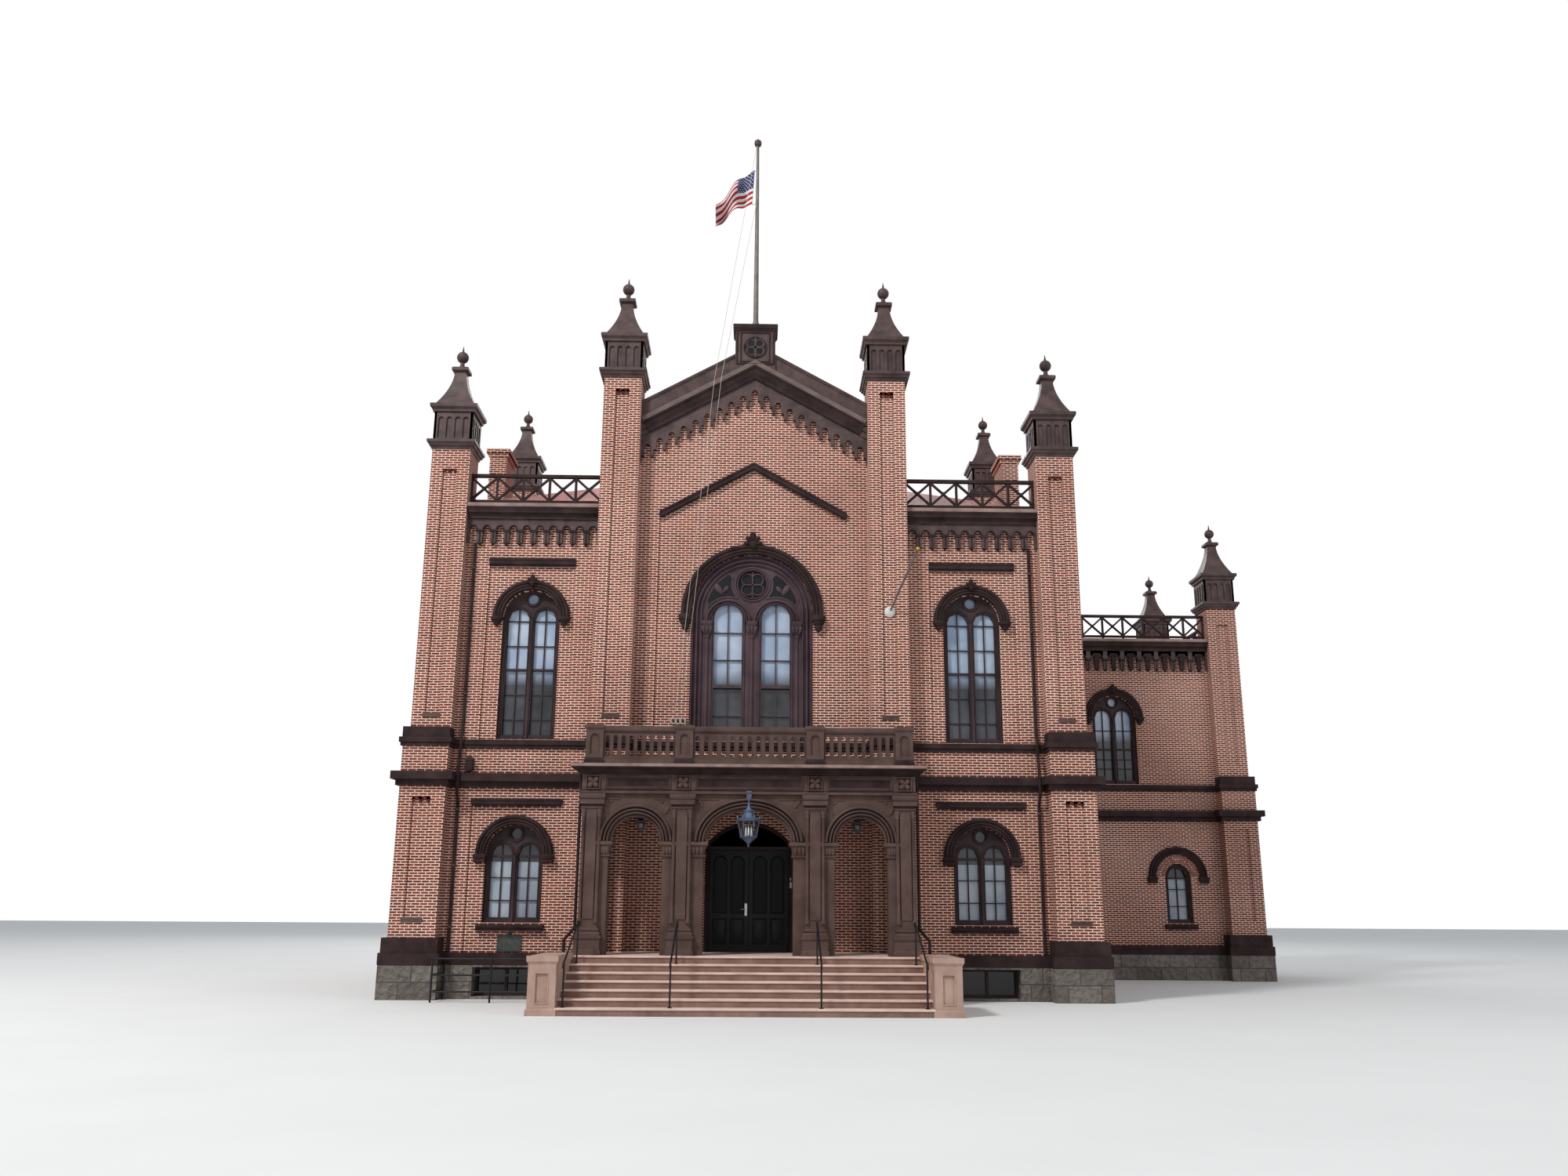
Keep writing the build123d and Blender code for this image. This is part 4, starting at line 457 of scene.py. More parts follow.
def rough_stone():
    """Rock-faced grey blocks: staggered joints, and a swelling broken face on each block."""
    graph = Graph("rough_stone")
    bond = graph.add("ShaderNodeTexBrick", {"offset": 0.37}, Vector=wall_vector(graph),
                     Color1=rgb(150, 142, 134), Color2=rgb(112, 104, 98), Mortar=rgb(96, 90, 84), Scale=1.0,
                     Mortar_Size=0.012, Mortar_Smooth=0.6, Bias=0.0, Brick_Width=0.82, Row_Height=0.41)
    facets = graph.add("ShaderNodeTexVoronoi", {"feature": "F1"}, Vector=graph.object, Scale=5.5)
    mottle = graph.ramp(graph.noise(7.0, 6.0, 0.65), 0.35, 0.7)
    colour = graph.mix(graph.math("MULTIPLY", mottle, 0.6), bond.outputs["Color"], rgb(92, 84, 80))
    graph.set(Base_Color=colour, Roughness=0.9, Specular_IOR_Level=0.08)
    broken = graph.math("MULTIPLY", graph.noise(16.0, 6.0), 0.8)
    height = graph.math("ADD", facets.outputs["Distance"], broken)
    block_face = graph.math("SUBTRACT", 1.0, bond.outputs["Fac"])
    graph.bump(graph.math("MULTIPLY", height, block_face), 0.09)
    return graph.material


def metal(name, light, dark, rough, metallic=0.0, scale=3.0):
    """Painted or bare metal with worn patches and a slightly uneven gloss."""
    graph = Graph(name)
    wear = graph.noise(scale, 5.0, 0.6)
    graph.set(Base_Color=graph.mix(graph.ramp(wear, 0.35, 0.7), light, dark), Metallic=metallic,
              Specular_IOR_Level=0.25, Roughness=graph.math("MULTIPLY_ADD", wear, 0.25, rough - 0.12))
    graph.bump(graph.noise(scale * 18, 3.0), 0.002, 0.5)
    return graph.material


def timber(name, light, dark, rough, grain=18.0):
    """Painted timber: long faint grain up the piece and chalky patches."""
    graph = Graph(name)
    stretch = graph.add("ShaderNodeMapping", Vector=graph.object, Scale=(grain, grain, 1.2)).outputs[0]
    fibres = graph.noise(2.0, 5.0, 0.6, stretch)
    patches = graph.ramp(graph.noise(1.3, 4.0), 0.35, 0.7)
    colour = graph.mix(patches, light, dark)
    colour = graph.mix(graph.math("MULTIPLY", graph.ramp(fibres, 0.4, 0.75), 0.4), colour, dark)
    graph.set(Base_Color=colour, Roughness=rough, Specular_IOR_Level=0.2)
    graph.bump(fibres, 0.003, 0.5)
    return graph.material


def window_glass():
    """Old panes, slightly wavy: painted shade of the unlit rooms, a painted reflection of pale sky on the
    upper sashes, pale blinds downstairs and painted shade in the near-black basement lights.
    """
    graph = Graph("window_glass")
    height = graph.split(graph.object)[2]
    reflected_cloud = graph.ramp(graph.noise(0.8, 3.0), 0.35, 0.65)
    # Painted reflection of a cloudy sky on the upper sashes, and painted shade of the unlit rooms below it,
    # both varied by reflected cloud
    sky_reflection = graph.mix(reflected_cloud, rgb(132, 152, 180), rgb(186, 198, 214))
    room_shade = graph.mix(reflected_cloud, rgb(28, 30, 34), rgb(74, 78, 84))
    over, under = graph.math("GREATER_THAN", height, 0.9), graph.math("LESS_THAN", height, 3.33)
    blind = graph.math("MULTIPLY", over, under)
    colour = graph.mix(graph.ramp(height, 7.9, 8.35), room_shade, sky_reflection)
    colour = graph.mix(blind, colour, graph.mix(reflected_cloud, rgb(128, 138, 152), rgb(170, 178, 188)))
    # Painted shade: the basement lights near black
    colour = graph.mix(graph.math("LESS_THAN", height, 0.85), colour, rgb(12, 12, 13))
    graph.set(Base_Color=colour, Roughness=0.06, IOR=1.5, Specular_IOR_Level=0.5)
    graph.bump(graph.noise(1.7, 2.0), 0.012, 0.25)
    return graph.material


def roof_metal():
    """Red sheet roof with raised seams, and sun-bleached and darker streaks."""
    seam_pitch = 0.46
    graph = Graph("roof_metal")
    stretch = graph.add("ShaderNodeMapping", Vector=graph.object, Scale=(3.0, 3.0, 0.5)).outputs[0]
    streak = graph.noise(1.1, 4.0, 0.55, stretch)
    graph.set(Base_Color=graph.mix(graph.ramp(streak, 0.3, 0.7), rgb(158, 62, 48), rgb(112, 42, 36)),
              Roughness=graph.math("MULTIPLY_ADD", streak, 0.2, 0.35), Metallic=0.0)
    normal, place = graph.split(graph.normal), graph.split(graph.object)
    lean = [graph.math("ABSOLUTE", normal[axis]) for axis in (0, 1)]
    sideways = graph.math("GREATER_THAN", *lean)
    across = graph.add("ShaderNodeMix", Factor=sideways, A=place[0], B=place[1]).outputs[0]
    share = graph.math("FRACT", graph.math("DIVIDE", across, seam_pitch))
    share = graph.math("ABSOLUTE", graph.math("SUBTRACT", share, 0.5))
    graph.bump(graph.ramp(share, 0.06, 0.03), 0.03)
    return graph.material


def flag_cloth():
    """Thin cloth in seven red and six white stripes, with a navy corner set with rows of pale stars."""
    graph = Graph("flag_cloth")
    weave = graph.split(graph.add("ShaderNodeUVMap", {"uv_map": "cloth"}).outputs[0])
    along, down = weave[0], weave[1]
    stripe = graph.math("LESS_THAN", graph.math("FRACT", graph.math("MULTIPLY", down, 6.5)), 0.5)
    colour = graph.mix(stripe, rgb(216, 210, 208), rgb(150, 24, 36))
    left, top = graph.math("LESS_THAN", along, 0.4), graph.math("LESS_THAN", down, 7 / 13)
    corner = graph.math("MULTIPLY", left, top)
    row = graph.math("MULTIPLY", down, 13 / 7 * 4.5)
    shift = graph.math("MULTIPLY", graph.math("FLOOR", graph.math("MULTIPLY", row, 2.0)), 0.5)
    cell = graph.math("SUBTRACT", graph.math("FRACT", graph.math("MULTIPLY_ADD", along, 15.0, shift)), 0.5)
    level = graph.math("SUBTRACT", graph.math("FRACT", graph.math("MULTIPLY", row, 2.0)), 0.5)
    squares = [graph.math("MULTIPLY", part, part) for part in (cell, level)]
    star = graph.math("LESS_THAN", graph.math("SQRT", graph.math("ADD", *squares)), 0.2)
    colour = graph.mix(corner, colour, graph.mix(star, rgb(22, 32, 78), rgb(224, 222, 222)))
    graph.set(Base_Color=colour, Roughness=0.8)
    graph.bump(graph.noise(160.0, 2.0), 0.0006, 0.4)
    return graph.material


# Nodes that are finished otherwise than by their own slot
NODE_FINISHES = {
    "portico_arcade": "portico_stone", "portico_ends": "portico_stone", "portico_pilasters": "portico_stone",
    "portico_frieze": "portico_stone", "step_cheeks": "cheek_stone", "door_frame": "brownstone",
    "central_window_frame": "great_timber",
}


# Light and dark tone of each finish, then its numbers in the order of its function
STONES = (
    ("brownstone", (66, 52, 51), (44, 34, 35), 2.2, 0.75),
    ("portico_stone", (101, 82, 76), (77, 61, 57), 1.6, 0.8),
    ("pale_stone", (158, 134, 125), (122, 98, 93), 2.6, 0.75),
    ("coping_stone", (124, 107, 103), (98, 83, 80), 2.6, 0.75),
    ("step_stone", (226, 200, 188), (200, 170, 157), 1.8, 0.85, 0.003, 0.3),
    # Risers: the step stone darkened with painted shade for their upright faces
    ("riser_stone", (152, 122, 110), (118, 92, 82), 2.4, 0.88, 0.003, 0.3),
    ("cheek_stone", (190, 160, 146), (160, 130, 116), 2.0, 0.85, 0.004, 0.3),
    ("arch_brick", (158, 112, 100), (124, 84, 76), 9.0, 0.9, 0.002),
    ("red_brick", (100, 52, 44), (74, 40, 36), 9.0, 0.9, 0.002),
)
METALS = (
    ("dark_metal", (88, 71, 69), (58, 46, 46), 0.5),
    ("pole_metal", (126, 116, 112), (98, 90, 88), 0.45),
    ("bright_metal", (190, 188, 182), (150, 148, 144), 0.25, 1.0, 10.0),
    ("iron", (26, 26, 28), (40, 38, 38), 0.42, 0.0, 8.0),
    ("pole_paint", (214, 212, 206), (180, 178, 172), 0.4),
    ("gilding", (214, 168, 74), (170, 124, 48), 0.3, 1.0),
    ("lantern_metal", (96, 112, 136), (66, 78, 98), 0.38, 0.3, 9.0),
    ("bronze", (80, 84, 82), (58, 62, 61), 0.5, 0.2, 12.0),
)
TIMBERS = (
    ("window_timber", (66, 52, 54), (46, 36, 38), 0.6),
    ("great_timber", (90, 73, 77), (65, 51, 55), 0.6),
    ("door_timber", (30, 32, 36), (18, 20, 23), 0.42),
    ("floor_timber", (150, 112, 78), (112, 80, 54), 0.55, 6.0),
)


def make_materials(settings):
    """Every finish, put on the frame's nodes by their own slots or by NODE_FINISHES."""
    brick(settings)
    rough_stone()
    for finish, table in ((stone, STONES), (metal, METALS), (timber, TIMBERS)):
        for name, light, dark, *numbers in table:
            finish(name, rgb(*light), rgb(*dark), *numbers)
    window_glass()
    roof_metal()
    flag_cloth()
    # Door panes painted near black with little gloss: painted shade of the dark hall behind them
    shaded_door_pane = Graph("door_glass")
    shaded_door_pane.set(Base_Color=rgb(16, 18, 21), Roughness=0.2, Specular_IOR_Level=0.1)
    pane = Graph("lamp_glass")
    pane.set(Base_Color=(0.93, 0.96, 0.98, 1.0), Roughness=0.03, IOR=1.12, Transmission_Weight=1.0)
    wax = Graph("wax")
    wax.set(Base_Color=rgb(236, 232, 220), Roughness=0.5)
    rope = Graph("rope")
    rope.set(Base_Color=rope.mix(rope.noise(90.0), rgb(214, 206, 192), rgb(150, 142, 130)), Roughness=0.85)
    for name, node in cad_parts.items():
        for place in node.material_slots:
            if place.material:
                slot = NODE_FINISHES.get(name, place.material.name.split(".")[0])
                place.material = bpy.data.materials[slot + "_finish"]


# Spires


def spire(shaft):
    """Flange, panelled box, eaves, hollow-curved roof, cap, ball and spike, from the shaft's top at z = 0.

    The roof's half width is 0.155 + 0.39 (1 - s) to the 1.75, where s is the share of its height."""
    half = shaft / 2
    flange = [(0, 0.0), (0.0, 0.03), (0.06, 0.045), (0.085, 0.06), (0.085, 0.085), (0.14, 0.1), (0.17, 0.12),
              (0.17, 0.14), (0.25, 0.14), (0.262, 0.1)]
    parts = [block([(z, half + out) for z, out in flange])]
    side = half + 0.01
    core = side - 0.06
    parts.append(block([(0.24, core), (1.1, core)]))
    count, margin = 4, 0.075
    pitch = 2 * (side - margin) / count
    face = [boxes([(-side, -side + margin, -side, -core + 0.01, 0.25, 1.085),
                   (side - margin, side, -side, -core + 0.01, 0.25, 1.085)])]
    for index in range(count):
        x0 = -side + margin + index * pitch
        face.append(niche(x0, x0 + pitch, 0.25, 1.085, pitch * 0.33, 0.33, 0.87, -side, 0.045, -core + 0.005,
                          8))
    face = merged(*face)
    parts += [turned(face, quarter) for quarter in range(4)]
    eaves = [(1.075, 0.02), (1.085, 0.06), (1.13, 0.06), (1.17, 0.085), (1.2, 0.125), (1.24, 0.13),
             (1.3, 0.13), (1.305, 0.02)]
    parts.append(block([(z, half + out) for z, out in eaves]))
    share = np.linspace(0, 1, 12)
    roof = np.stack([1.3 + 1.14 * share, 0.155 + (0.545 - 0.155) * (1 - share) ** 1.75], axis=-1)
    parts.append(block(roof))
    parts.append(block([(2.42, 0.155), (2.44, 0.2), (2.46, 0.232), (2.54, 0.232), (2.57, 0.19), (2.58, 0.1)]))
    t = np.linspace(-1.25, 1.35, 13)
    ball = np.stack([2.92 + 0.167 * np.sin(t), 0.167 * np.cos(t)], axis=-1)
    stem = [(2.57, 0.11), (2.62, 0.085), (2.7, 0.06), (2.735, 0.062)]
    spike = [(3.09, 0.036), (3.12, 0.03), (3.27, 0.004)]
    parts.append(lathe(np.concatenate([stem, ball, spike]), 20))
    return merged(*parts)


# Foot and places of the spires, by the node that each group replaces
SPIRES = {
    "front_corner_spires": (14.3, [(-8.245, 0.165), (8.245, 0.165)]),
    "tall_spires": (16.41, [(-3.64, 0.035), (3.64, 0.035)]),
    "side_spires": (16.41, [(-8.245, 10.085), (8.245, 10.085)]),
    "rear_spires": (14.3, [(-8.245, 19.035), (8.245, 19.035)]),
    "wing_spires": (12.58, [(16.485, 10.765), (16.485, 18.035)]),
}


def build_spires():
    """A spire over each turret."""
    form = spire(shaft=1.03)
    for name, (foot, spots) in SPIRES.items():
        make(name + "_full", copies(form, [(x, y, foot) for x, y in spots]), "dark_metal", replaces=[name],
             bevel=0.006)


def build_flagpole():
    """Tapered pole with its dark cap and halyards, and the slanting staff on the right tall turret.

    The pole's radius is 0.075 - 0.037 s to the 1.2, where s is the share of its height."""
    share = np.linspace(0, 1, 9)
    pole = np.stack([18.17 + 5.95 * share, 0.075 - 0.037 * share ** 1.2], axis=-1)
    collar = [(18.17, 0.15), (18.23, 0.15), (18.26, 0.1), (18.4, 0.09)]
    make("flagpole_shaft", merged(lathe(pole, 16, 0, POLE_Y), lathe(collar, 16, 0, POLE_Y)), "pole_metal",
         replaces=["flagpole"])
    cap = [(24.08, 0.03), (24.1, 0.085), (24.16, 0.108), (24.24, 0.105), (24.29, 0.06), (24.305, 0.02)]
    make("flagpole_cap", lathe(cap, 20, 0, POLE_Y), "dark_metal")
    foot, tip = np.array([3.65, -0.42, 9.847]), np.array([4.23, -1.98, 11.148])
    run = (tip - foot) / np.linalg.norm(tip - foot)
    level = np.cross(run, (0, 0, 1))
    staff = swept([foot + 0.04 * run, tip], disc(0.03, 12), normal=level / np.linalg.norm(level))
    make("wall_staff", staff, "pole_metal")
    socket = lathe([(0, 0.145), (0.03, 0.145), (0.05, 0.12), (0.07, 0.06)], 24)
    make("staff_socket", tipped(socket, *foot, -1), "pole_paint")
    t = np.linspace(-1.35, 1.45, 12)
    ball = lathe(0.06 * np.stack([np.sin(t), np.cos(t)], axis=-1), 16)
    make("staff_ball", copies(ball, [tip]), "gilding")
    ropes = [rod([(0, POLE_Y, z), (-reach, POLE_Y, z - 0.02)], 0.008, normal=(0, 1, 0))
             for z, reach in ((23.27, 0.1), (22.18, 0.17))]
    for top, edge, low in ((24.06, -1.12, -1.97), (22.1, -0.92, -1.82)):
        path = np.array([(-0.03, POLE_Y - 0.08, top), (edge, -0.36, 17.12 - SLOPE * abs(edge)),
                         (low, -0.34, 7.12), (low, -0.06, 7.0)])
        ropes += [rod(path[:2], 0.006, 6, (0, 1, 0)), rod(path[1:3], 0.006, 6, (0, 1, 0)),
                  rod(path[2:], 0.006, 6)]
    for x in (-2.02, -1.9, -1.78):
        ropes.append(swept(circle(x, 6.95, 0.07, -0.03, 16), disc(0.022, 6), ring=True))
    ropes.append(boxes([(-2.1, -1.7, -0.04, 0.05, 7.0, 7.03)]))
    make("halyards", merged(*ropes), "rope")


def build_flag():
    """Flag drooping from the pole in folds, with u along the fly and v down the hoist, both from 0 to 1.

    Point (u, v) lies 0.085 + 1.12 u to the 0.93 + 0.06 v (1 - u) to the left of the pole's middle. It hangs
    below the top by the hoist times v (1 - 0.3 u), plus 0.72 u, plus 0.42 u squared, less 0.03 sin 5 u. It
    stands out of the pole's plane by 0.2 u to the 0.8 times a sine with 1.1 v + 0.15 u turns, plus 0.12 times
    a sine with 1.6 u turns that fades in over the first quarter."""
    length, height = 1.75, 1.12
    u, v = np.meshgrid(np.linspace(0, 1, 121), np.linspace(0, 1, 61), indexing="ij")
    across = -0.085 - 1.12 * u ** 0.93 - 0.06 * v * (1 - u)
    level = 23.3 - height * v * (1 - 0.3 * u) - 0.72 * u - 0.42 * u ** 2 + 0.03 * np.sin(5 * u)
    folds = 0.2 * u ** 0.8 * np.sin(2 * np.pi * (1.1 * v + 0.15 * u + 0.3))
    folds += 0.12 * np.sin(2 * np.pi * 1.6 * u) * np.clip(u * 4.0, 0, 1)
    points = np.stack([across, POLE_Y + folds, level], axis=-1).reshape(-1, 3)
    number = np.arange(u.size).reshape(u.shape)
    quads = np.stack([number[:-1, :-1], number[1:, :-1], number[1:, 1:], number[:-1, 1:]], axis=-1)
    flag = make("flag", (points, [quads.reshape(-1, 4)]), "flag_cloth", angle=180)
    layer = flag.data.uv_layers.new(name="cloth")
    corners = np.empty(len(flag.data.loops), np.int32)
    flag.data.loops.foreach_get("vertex_index", corners)
    layer.data.foreach_set("uv", np.stack([u.ravel()[corners], v.ravel()[corners]], axis=-1).ravel())
    cloth = flag.modifiers.new("thickness", "SOLIDIFY")
    cloth.thickness = 0.002
    cloth.offset = 0.0


# Windows. Each is made against a wall whose outside is y = 0, then put in its place.


def window_spots():
    """(place, storey, set back, near) of every window: place is a function that turns and moves a part."""
    def at(quarter, x, y):
        return lambda part: turned(part, quarter, (x, y, 0.0))

    spots = []
    for side in (-1, 1):
        spots.append((at(0, side * UPPER_X, FIELD), UPPER, FIELD, True))
        spots.append((at(0, side * LOWER_X, FIELD), LOWER, FIELD, True))
    for storey in (UPPER, LOWER):
        for y in BAY_MIDDLES:
            spots.append((at(-1, -BODY_HALF, y), storey, 0.0, False))
        spots.append((at(1, BODY_HALF, BAY_MIDDLES[0]), storey, 0.0, False))
        for x in (-BODY_HALF / 2, BODY_HALF / 2):
            spots.append((at(2, x, BODY_DEPTH), storey, 0.0, False))
    middle = (WING_FRONT + WING_BACK) / 2
    spots.append((at(0, 12.57, WING_FRONT), WING_UPPER, 0.0, True))
    spots.append((at(0, 14.44, WING_FRONT), WING_LOWER, 0.0, True))
    spots.append((at(1, WING_EDGE, middle), WING_UPPER, 0.0, False))
    spots.append((at(1, WING_EDGE, middle), WING_LOWER, 0.0, False))
    spots.append((at(2, 12.57, WING_BACK), WING_UPPER, 0.0, False))
    return spots


def hood_stop(x, top, high, radius, front):
    """Turned end of a hood: drum cap, neck and tapering drop, half sunk in the wall."""
    shape = [(-1.0, 0.2), (-0.93, 0.36), (-0.82, 0.5), (-0.72, 0.56), (-0.66, 0.5), (-0.6, 0.62), (-0.5, 0.8),
             (-0.44, 0.84), (-0.4, 0.78), (-0.34, 0.98), (-0.08, 1.0), (0.0, 0.86)]
    points, faces = lathe([(top + high * z, radius * r) for z, r in shape], 20)
    return points * (1, 0.75, 1) + (x, front, 0), faces


def hood(half, spring, broad, back, upper):
    """Arched hood of three rolls, with drum stops and a carved crest upstairs and block stops below."""
    widths = (0.28 * broad, 0.3 * broad, 0.42 * broad)
    section = rolls(0.0, widths, (0.03, 0.038, 0.05), back + 0.06) * (-1, 1)
    parts = [swept(arch(0, half, spring - 0.03, spring), section)]
    for side in (-1, 1):
        x = side * (half + broad / 2)
        if upper:
            parts.append(hood_stop(x, spring, 0.245, 0.66 * broad, -back - 0.05))
            continue
        profile = [(spring - 0.22, 0.0), (spring - 0.2, 0.02), (spring - 0.13, 0.02), (spring - 0.11, 0.0),
                   (spring - 0.1, 0.03), (spring - 0.03, 0.035), (spring, 0.01)]
        parts.append(course(around(x, 0.0, -back - 0.1, broad / 2), profile))
        parts.append(boxes([(x - broad / 2, x + broad / 2, -back - 0.1, 0.0, spring - 0.21, spring - 0.01)]))
    if upper:
        parts.append(crest(0, -back - 0.11, spring + half + 0.45 * broad, 1.1 * broad))
    return merged(*parts)


def sill(half, foot, back):
    """Moulded sill with a sloping top."""
    profile = np.array([(0, -0.2), (0.1, -0.2), (0.115, -0.17), (0.12, -0.14), (0.15, -0.12), (0.15, -0.07),
                        (0.13, -0.055), (0, -0.04)])
    out = profile[:, 0]
    section = np.stack([np.where(out > 0, -back - out, 0.0), foot + profile[:, 1]], axis=-1)
    return prism(section, -half - 0.1, half + 0.1)


def sash(half, foot, spring, lights, near, rows, meeting):
    """Rolls round each light, glazing bars, meeting rail and the ring of the eye, before the frame."""
    light = half - FRAME_SIDE
    centres = (0.0,)
    if lights == 2:
        light = (half - FRAME_SIDE - MULLION / 2) / 2
        centres = (-MULLION / 2 - light, MULLION / 2 + light)
    low = foot + FRAME_SIDE
    back = FRAME_Y + 0.1
    parts = []
    bars = []
    for x in centres:
        outline = arch(x, light, low, spring, y=FRAME_Y, chords=16)
        parts.append(swept(outline, rolls(0.0, (0.03, 0.045), (0.012, 0.03)) * (-1, 1)))
        bars.append((x - 0.014, x + 0.014, FRAME_Y + 0.055, back, low - 0.02, spring + light * 0.98))
        for z in rows:
            bars.append((x - light, x + light, FRAME_Y + 0.06, back, z - 0.013, z + 0.013))
        bars.append((x - light, x + light, FRAME_Y + 0.035, back, meeting - 0.03, meeting + 0.03))
    parts.append(boxes(bars))
    if near and lights == 2:
        eye = circle(0, spring + 0.71 * half, 0.2 * half, FRAME_Y)
        parts.append(swept(eye, rolls(-0.01, (0.03, 0.05), (0.02, 0.04)) * (-1, 1), ring=True))
    parts.append(swept(arch(0, half - 0.035, foot, spring, y=FRAME_Y), rolls(-0.035, (0.07,), (0.04,))))
    if lights == 2:
        parts.append(lathe([(foot, 0.06), (foot + 0.1, 0.06), (foot + 0.13, 0.036), (spring - 0.3, 0.034),
                            (spring - 0.27, 0.05), (spring - 0.24, 0.04), (spring - 0.06, 0.065),
                            (spring - 0.03, 0.065)], 12, 0.0, FRAME_Y))
    return merged(*parts)


# Levels of the glazing bars, and of the meeting rail
PANES = {
    UPPER: ((6.98, 7.64, 8.95, 9.63), 8.31),
    LOWER: ((2.37, 2.93), 3.47),
    WING_UPPER: ((6.98, 7.3, 8.3), 7.65),
    WING_LOWER: ((2.37, 2.93), 3.3),
}


def build_windows():
    """Hoods, sills and sashes of every window, and the hood alone of the great one."""
    hoods, sashes = [], []
    for place, storey, back, near in window_spots():
        half, foot, spring, broad, lights = storey
        upper = foot > UPSTAIRS
        bricks = 0.3 if storey is WING_LOWER else 0.0
        hoods.append(place(hood(half + bricks, spring, broad, back, upper)))
        if not upper:
            hoods.append(place(sill(half, foot, back)))
        sashes.append(place(sash(half, foot, spring, lights, near, *PANES[storey])))
    make("window_hoods_full", merged(*hoods, hood_great()), "brownstone", replaces=["window_hoods"])
    make("window_sashes", merged(*sashes), "window_timber")


def hood_great():
    """Deep hood over the great window: three rolls on a plain order, with stops and a crest."""
    half, spring = GREAT_HALF, GREAT_SPRING
    section = rolls(0.0, (0.07, 0.09, 0.12), (0.03, 0.04, 0.05), 0.09) * (-1, 1)
    parts = [swept(arch(0, half, spring - 0.06, spring, y=FIELD, chords=40), section)]
    for side in (-1, 1):
        parts.append(hood_stop(side * (half + 0.15), spring - 0.06, 0.45, 0.19, -0.04))
    parts.append(crest(0, -0.09, spring + half + 0.2, 0.42))
    return merged(*parts)


def build_great_window():
    """Jamb ribs, light mouldings, paired rings, colonnettes and the cusped eye of the great window.

    The cusps are a bar round a curve whose radius is 0.2 + 0.15 |sin 2 t| to the 0.7."""
    y, back = FRAME_Y, FRAME_Y + 0.1
    ribs = rolls(0.0, (0.07, 0.04, 0.08, 0.04, 0.07), (0.085, 0.02, 0.08, 0.02, 0.07))
    parts = [swept(arch(0, GREAT_HALF, GREAT_FOOT, GREAT_SPRING, y=y, chords=40), ribs)]
    light = rolls(0.0, (0.035, 0.05), (0.02, 0.04)) * (-1, 1)
    ring = rolls(0.0, (0.06, 0.08), (0.07, 0.1)) * (-1, 1)
    for x in (-0.64, 0.64):
        parts.append(swept(arch(x, 0.375, 6.6, 9.8, y=y, chords=20), light))
        parts.append(swept(arch(x, 0.47, RING_SPRING, RING_SPRING, y=y, chords=20), ring))
        bars = [(x - 0.014, x + 0.014, y + 0.05, back, 6.6, 10.16)]
        bars += [(x - 0.375, x + 0.375, y + 0.05, back, z - 0.012, z + 0.012) for z in (7.12, 8.62, 9.36)]
        bars.append((x - 0.4, x + 0.4, y - 0.01, back, 7.86, 7.95))
        parts.append(boxes(bars))
    eye = rolls(-0.02, (0.05, 0.07), (0.05, 0.035)) * (-1, 1)
    parts.append(swept(circle(0, EYE, 0.4, y, 32), eye, ring=True))
    t = 2 * np.pi * np.arange(96) / 96
    reach = 0.2 + 0.15 * np.abs(np.cos(2 * t + np.pi / 2)) ** 0.7
    cusps = upright(np.stack([reach * np.cos(t), EYE + reach * np.sin(t)], axis=-1), y + 0.03)
    parts.append(swept(cusps, disc(0.022, 6), ring=True))
    parts.append(boxes([(-0.02, 0.02, y + 0.02, y + 0.09, EYE - 0.36, EYE + 0.36),
                        (-0.2, 0.2, y + 0.02, y + 0.09, EYE - 0.02, EYE + 0.02)]))
    outline = []
    for x, z, radius, first, last in ((0.0, GREAT_SPRING, 1.27, 16, 60), (0.0, EYE, 0.55, 18, -44),
                                      (0.64, RING_SPRING, 0.68, 108, 38)):
        a = np.radians(np.linspace(first, last, 9))
        outline.append(np.stack([x + radius * np.cos(a), z + radius * np.sin(a)], axis=-1))
    ground = upright(np.concatenate(outline), y)
    parts.append(mirrored(swept(ground, disc(0.026, 6), ring=True)))
    for side in (-1, 1):
        parts.append(leaf(side * 0.8, y - 0.01, 10.4, 0.17, 0.36, 0.05, side * 35))
        parts.append(leaf(side * 0.8, y - 0.01, 10.46, 0.12, 0.24, 0.05, side * -40))
    # Near-black plates behind the eye and the spandrel tracery: painted shade in the recesses
    plate = slab(circle(0, EYE, 0.41, 0.0, 24), y + 0.09, y + 0.055)
    make("great_window_shade_plates", merged(plate, mirrored(slab(ground, -0.006, 0.004))), "door_timber")
    column = [(6.45, 0.105), (6.58, 0.105), (6.6, 0.085), (6.64, 0.09), (6.68, 0.055), (9.2, 0.05),
              (9.22, 0.07), (9.26, 0.07), (9.28, 0.055)]
    parts.append(copies(lathe(column, 16, 0, y), [(0, 0, 0), (-1.2, 0, 0), (1.2, 0, 0)]))
    for x in (-1.2, 0.0, 1.2):
        parts.append(block([(9.28, 0.06), (9.45, 0.08), (9.56, 0.12), (9.6, 0.14), (9.66, 0.14)], x, y))
        for turn in (-45, 0, 45):
            parts.append(leaf(x + turn * 0.0014, y - 0.07, 9.3, 0.09, 0.26, 0.05, turn * 0.3))
    make("great_window_mouldings", merged(*parts), "great_timber")


# Roof edge

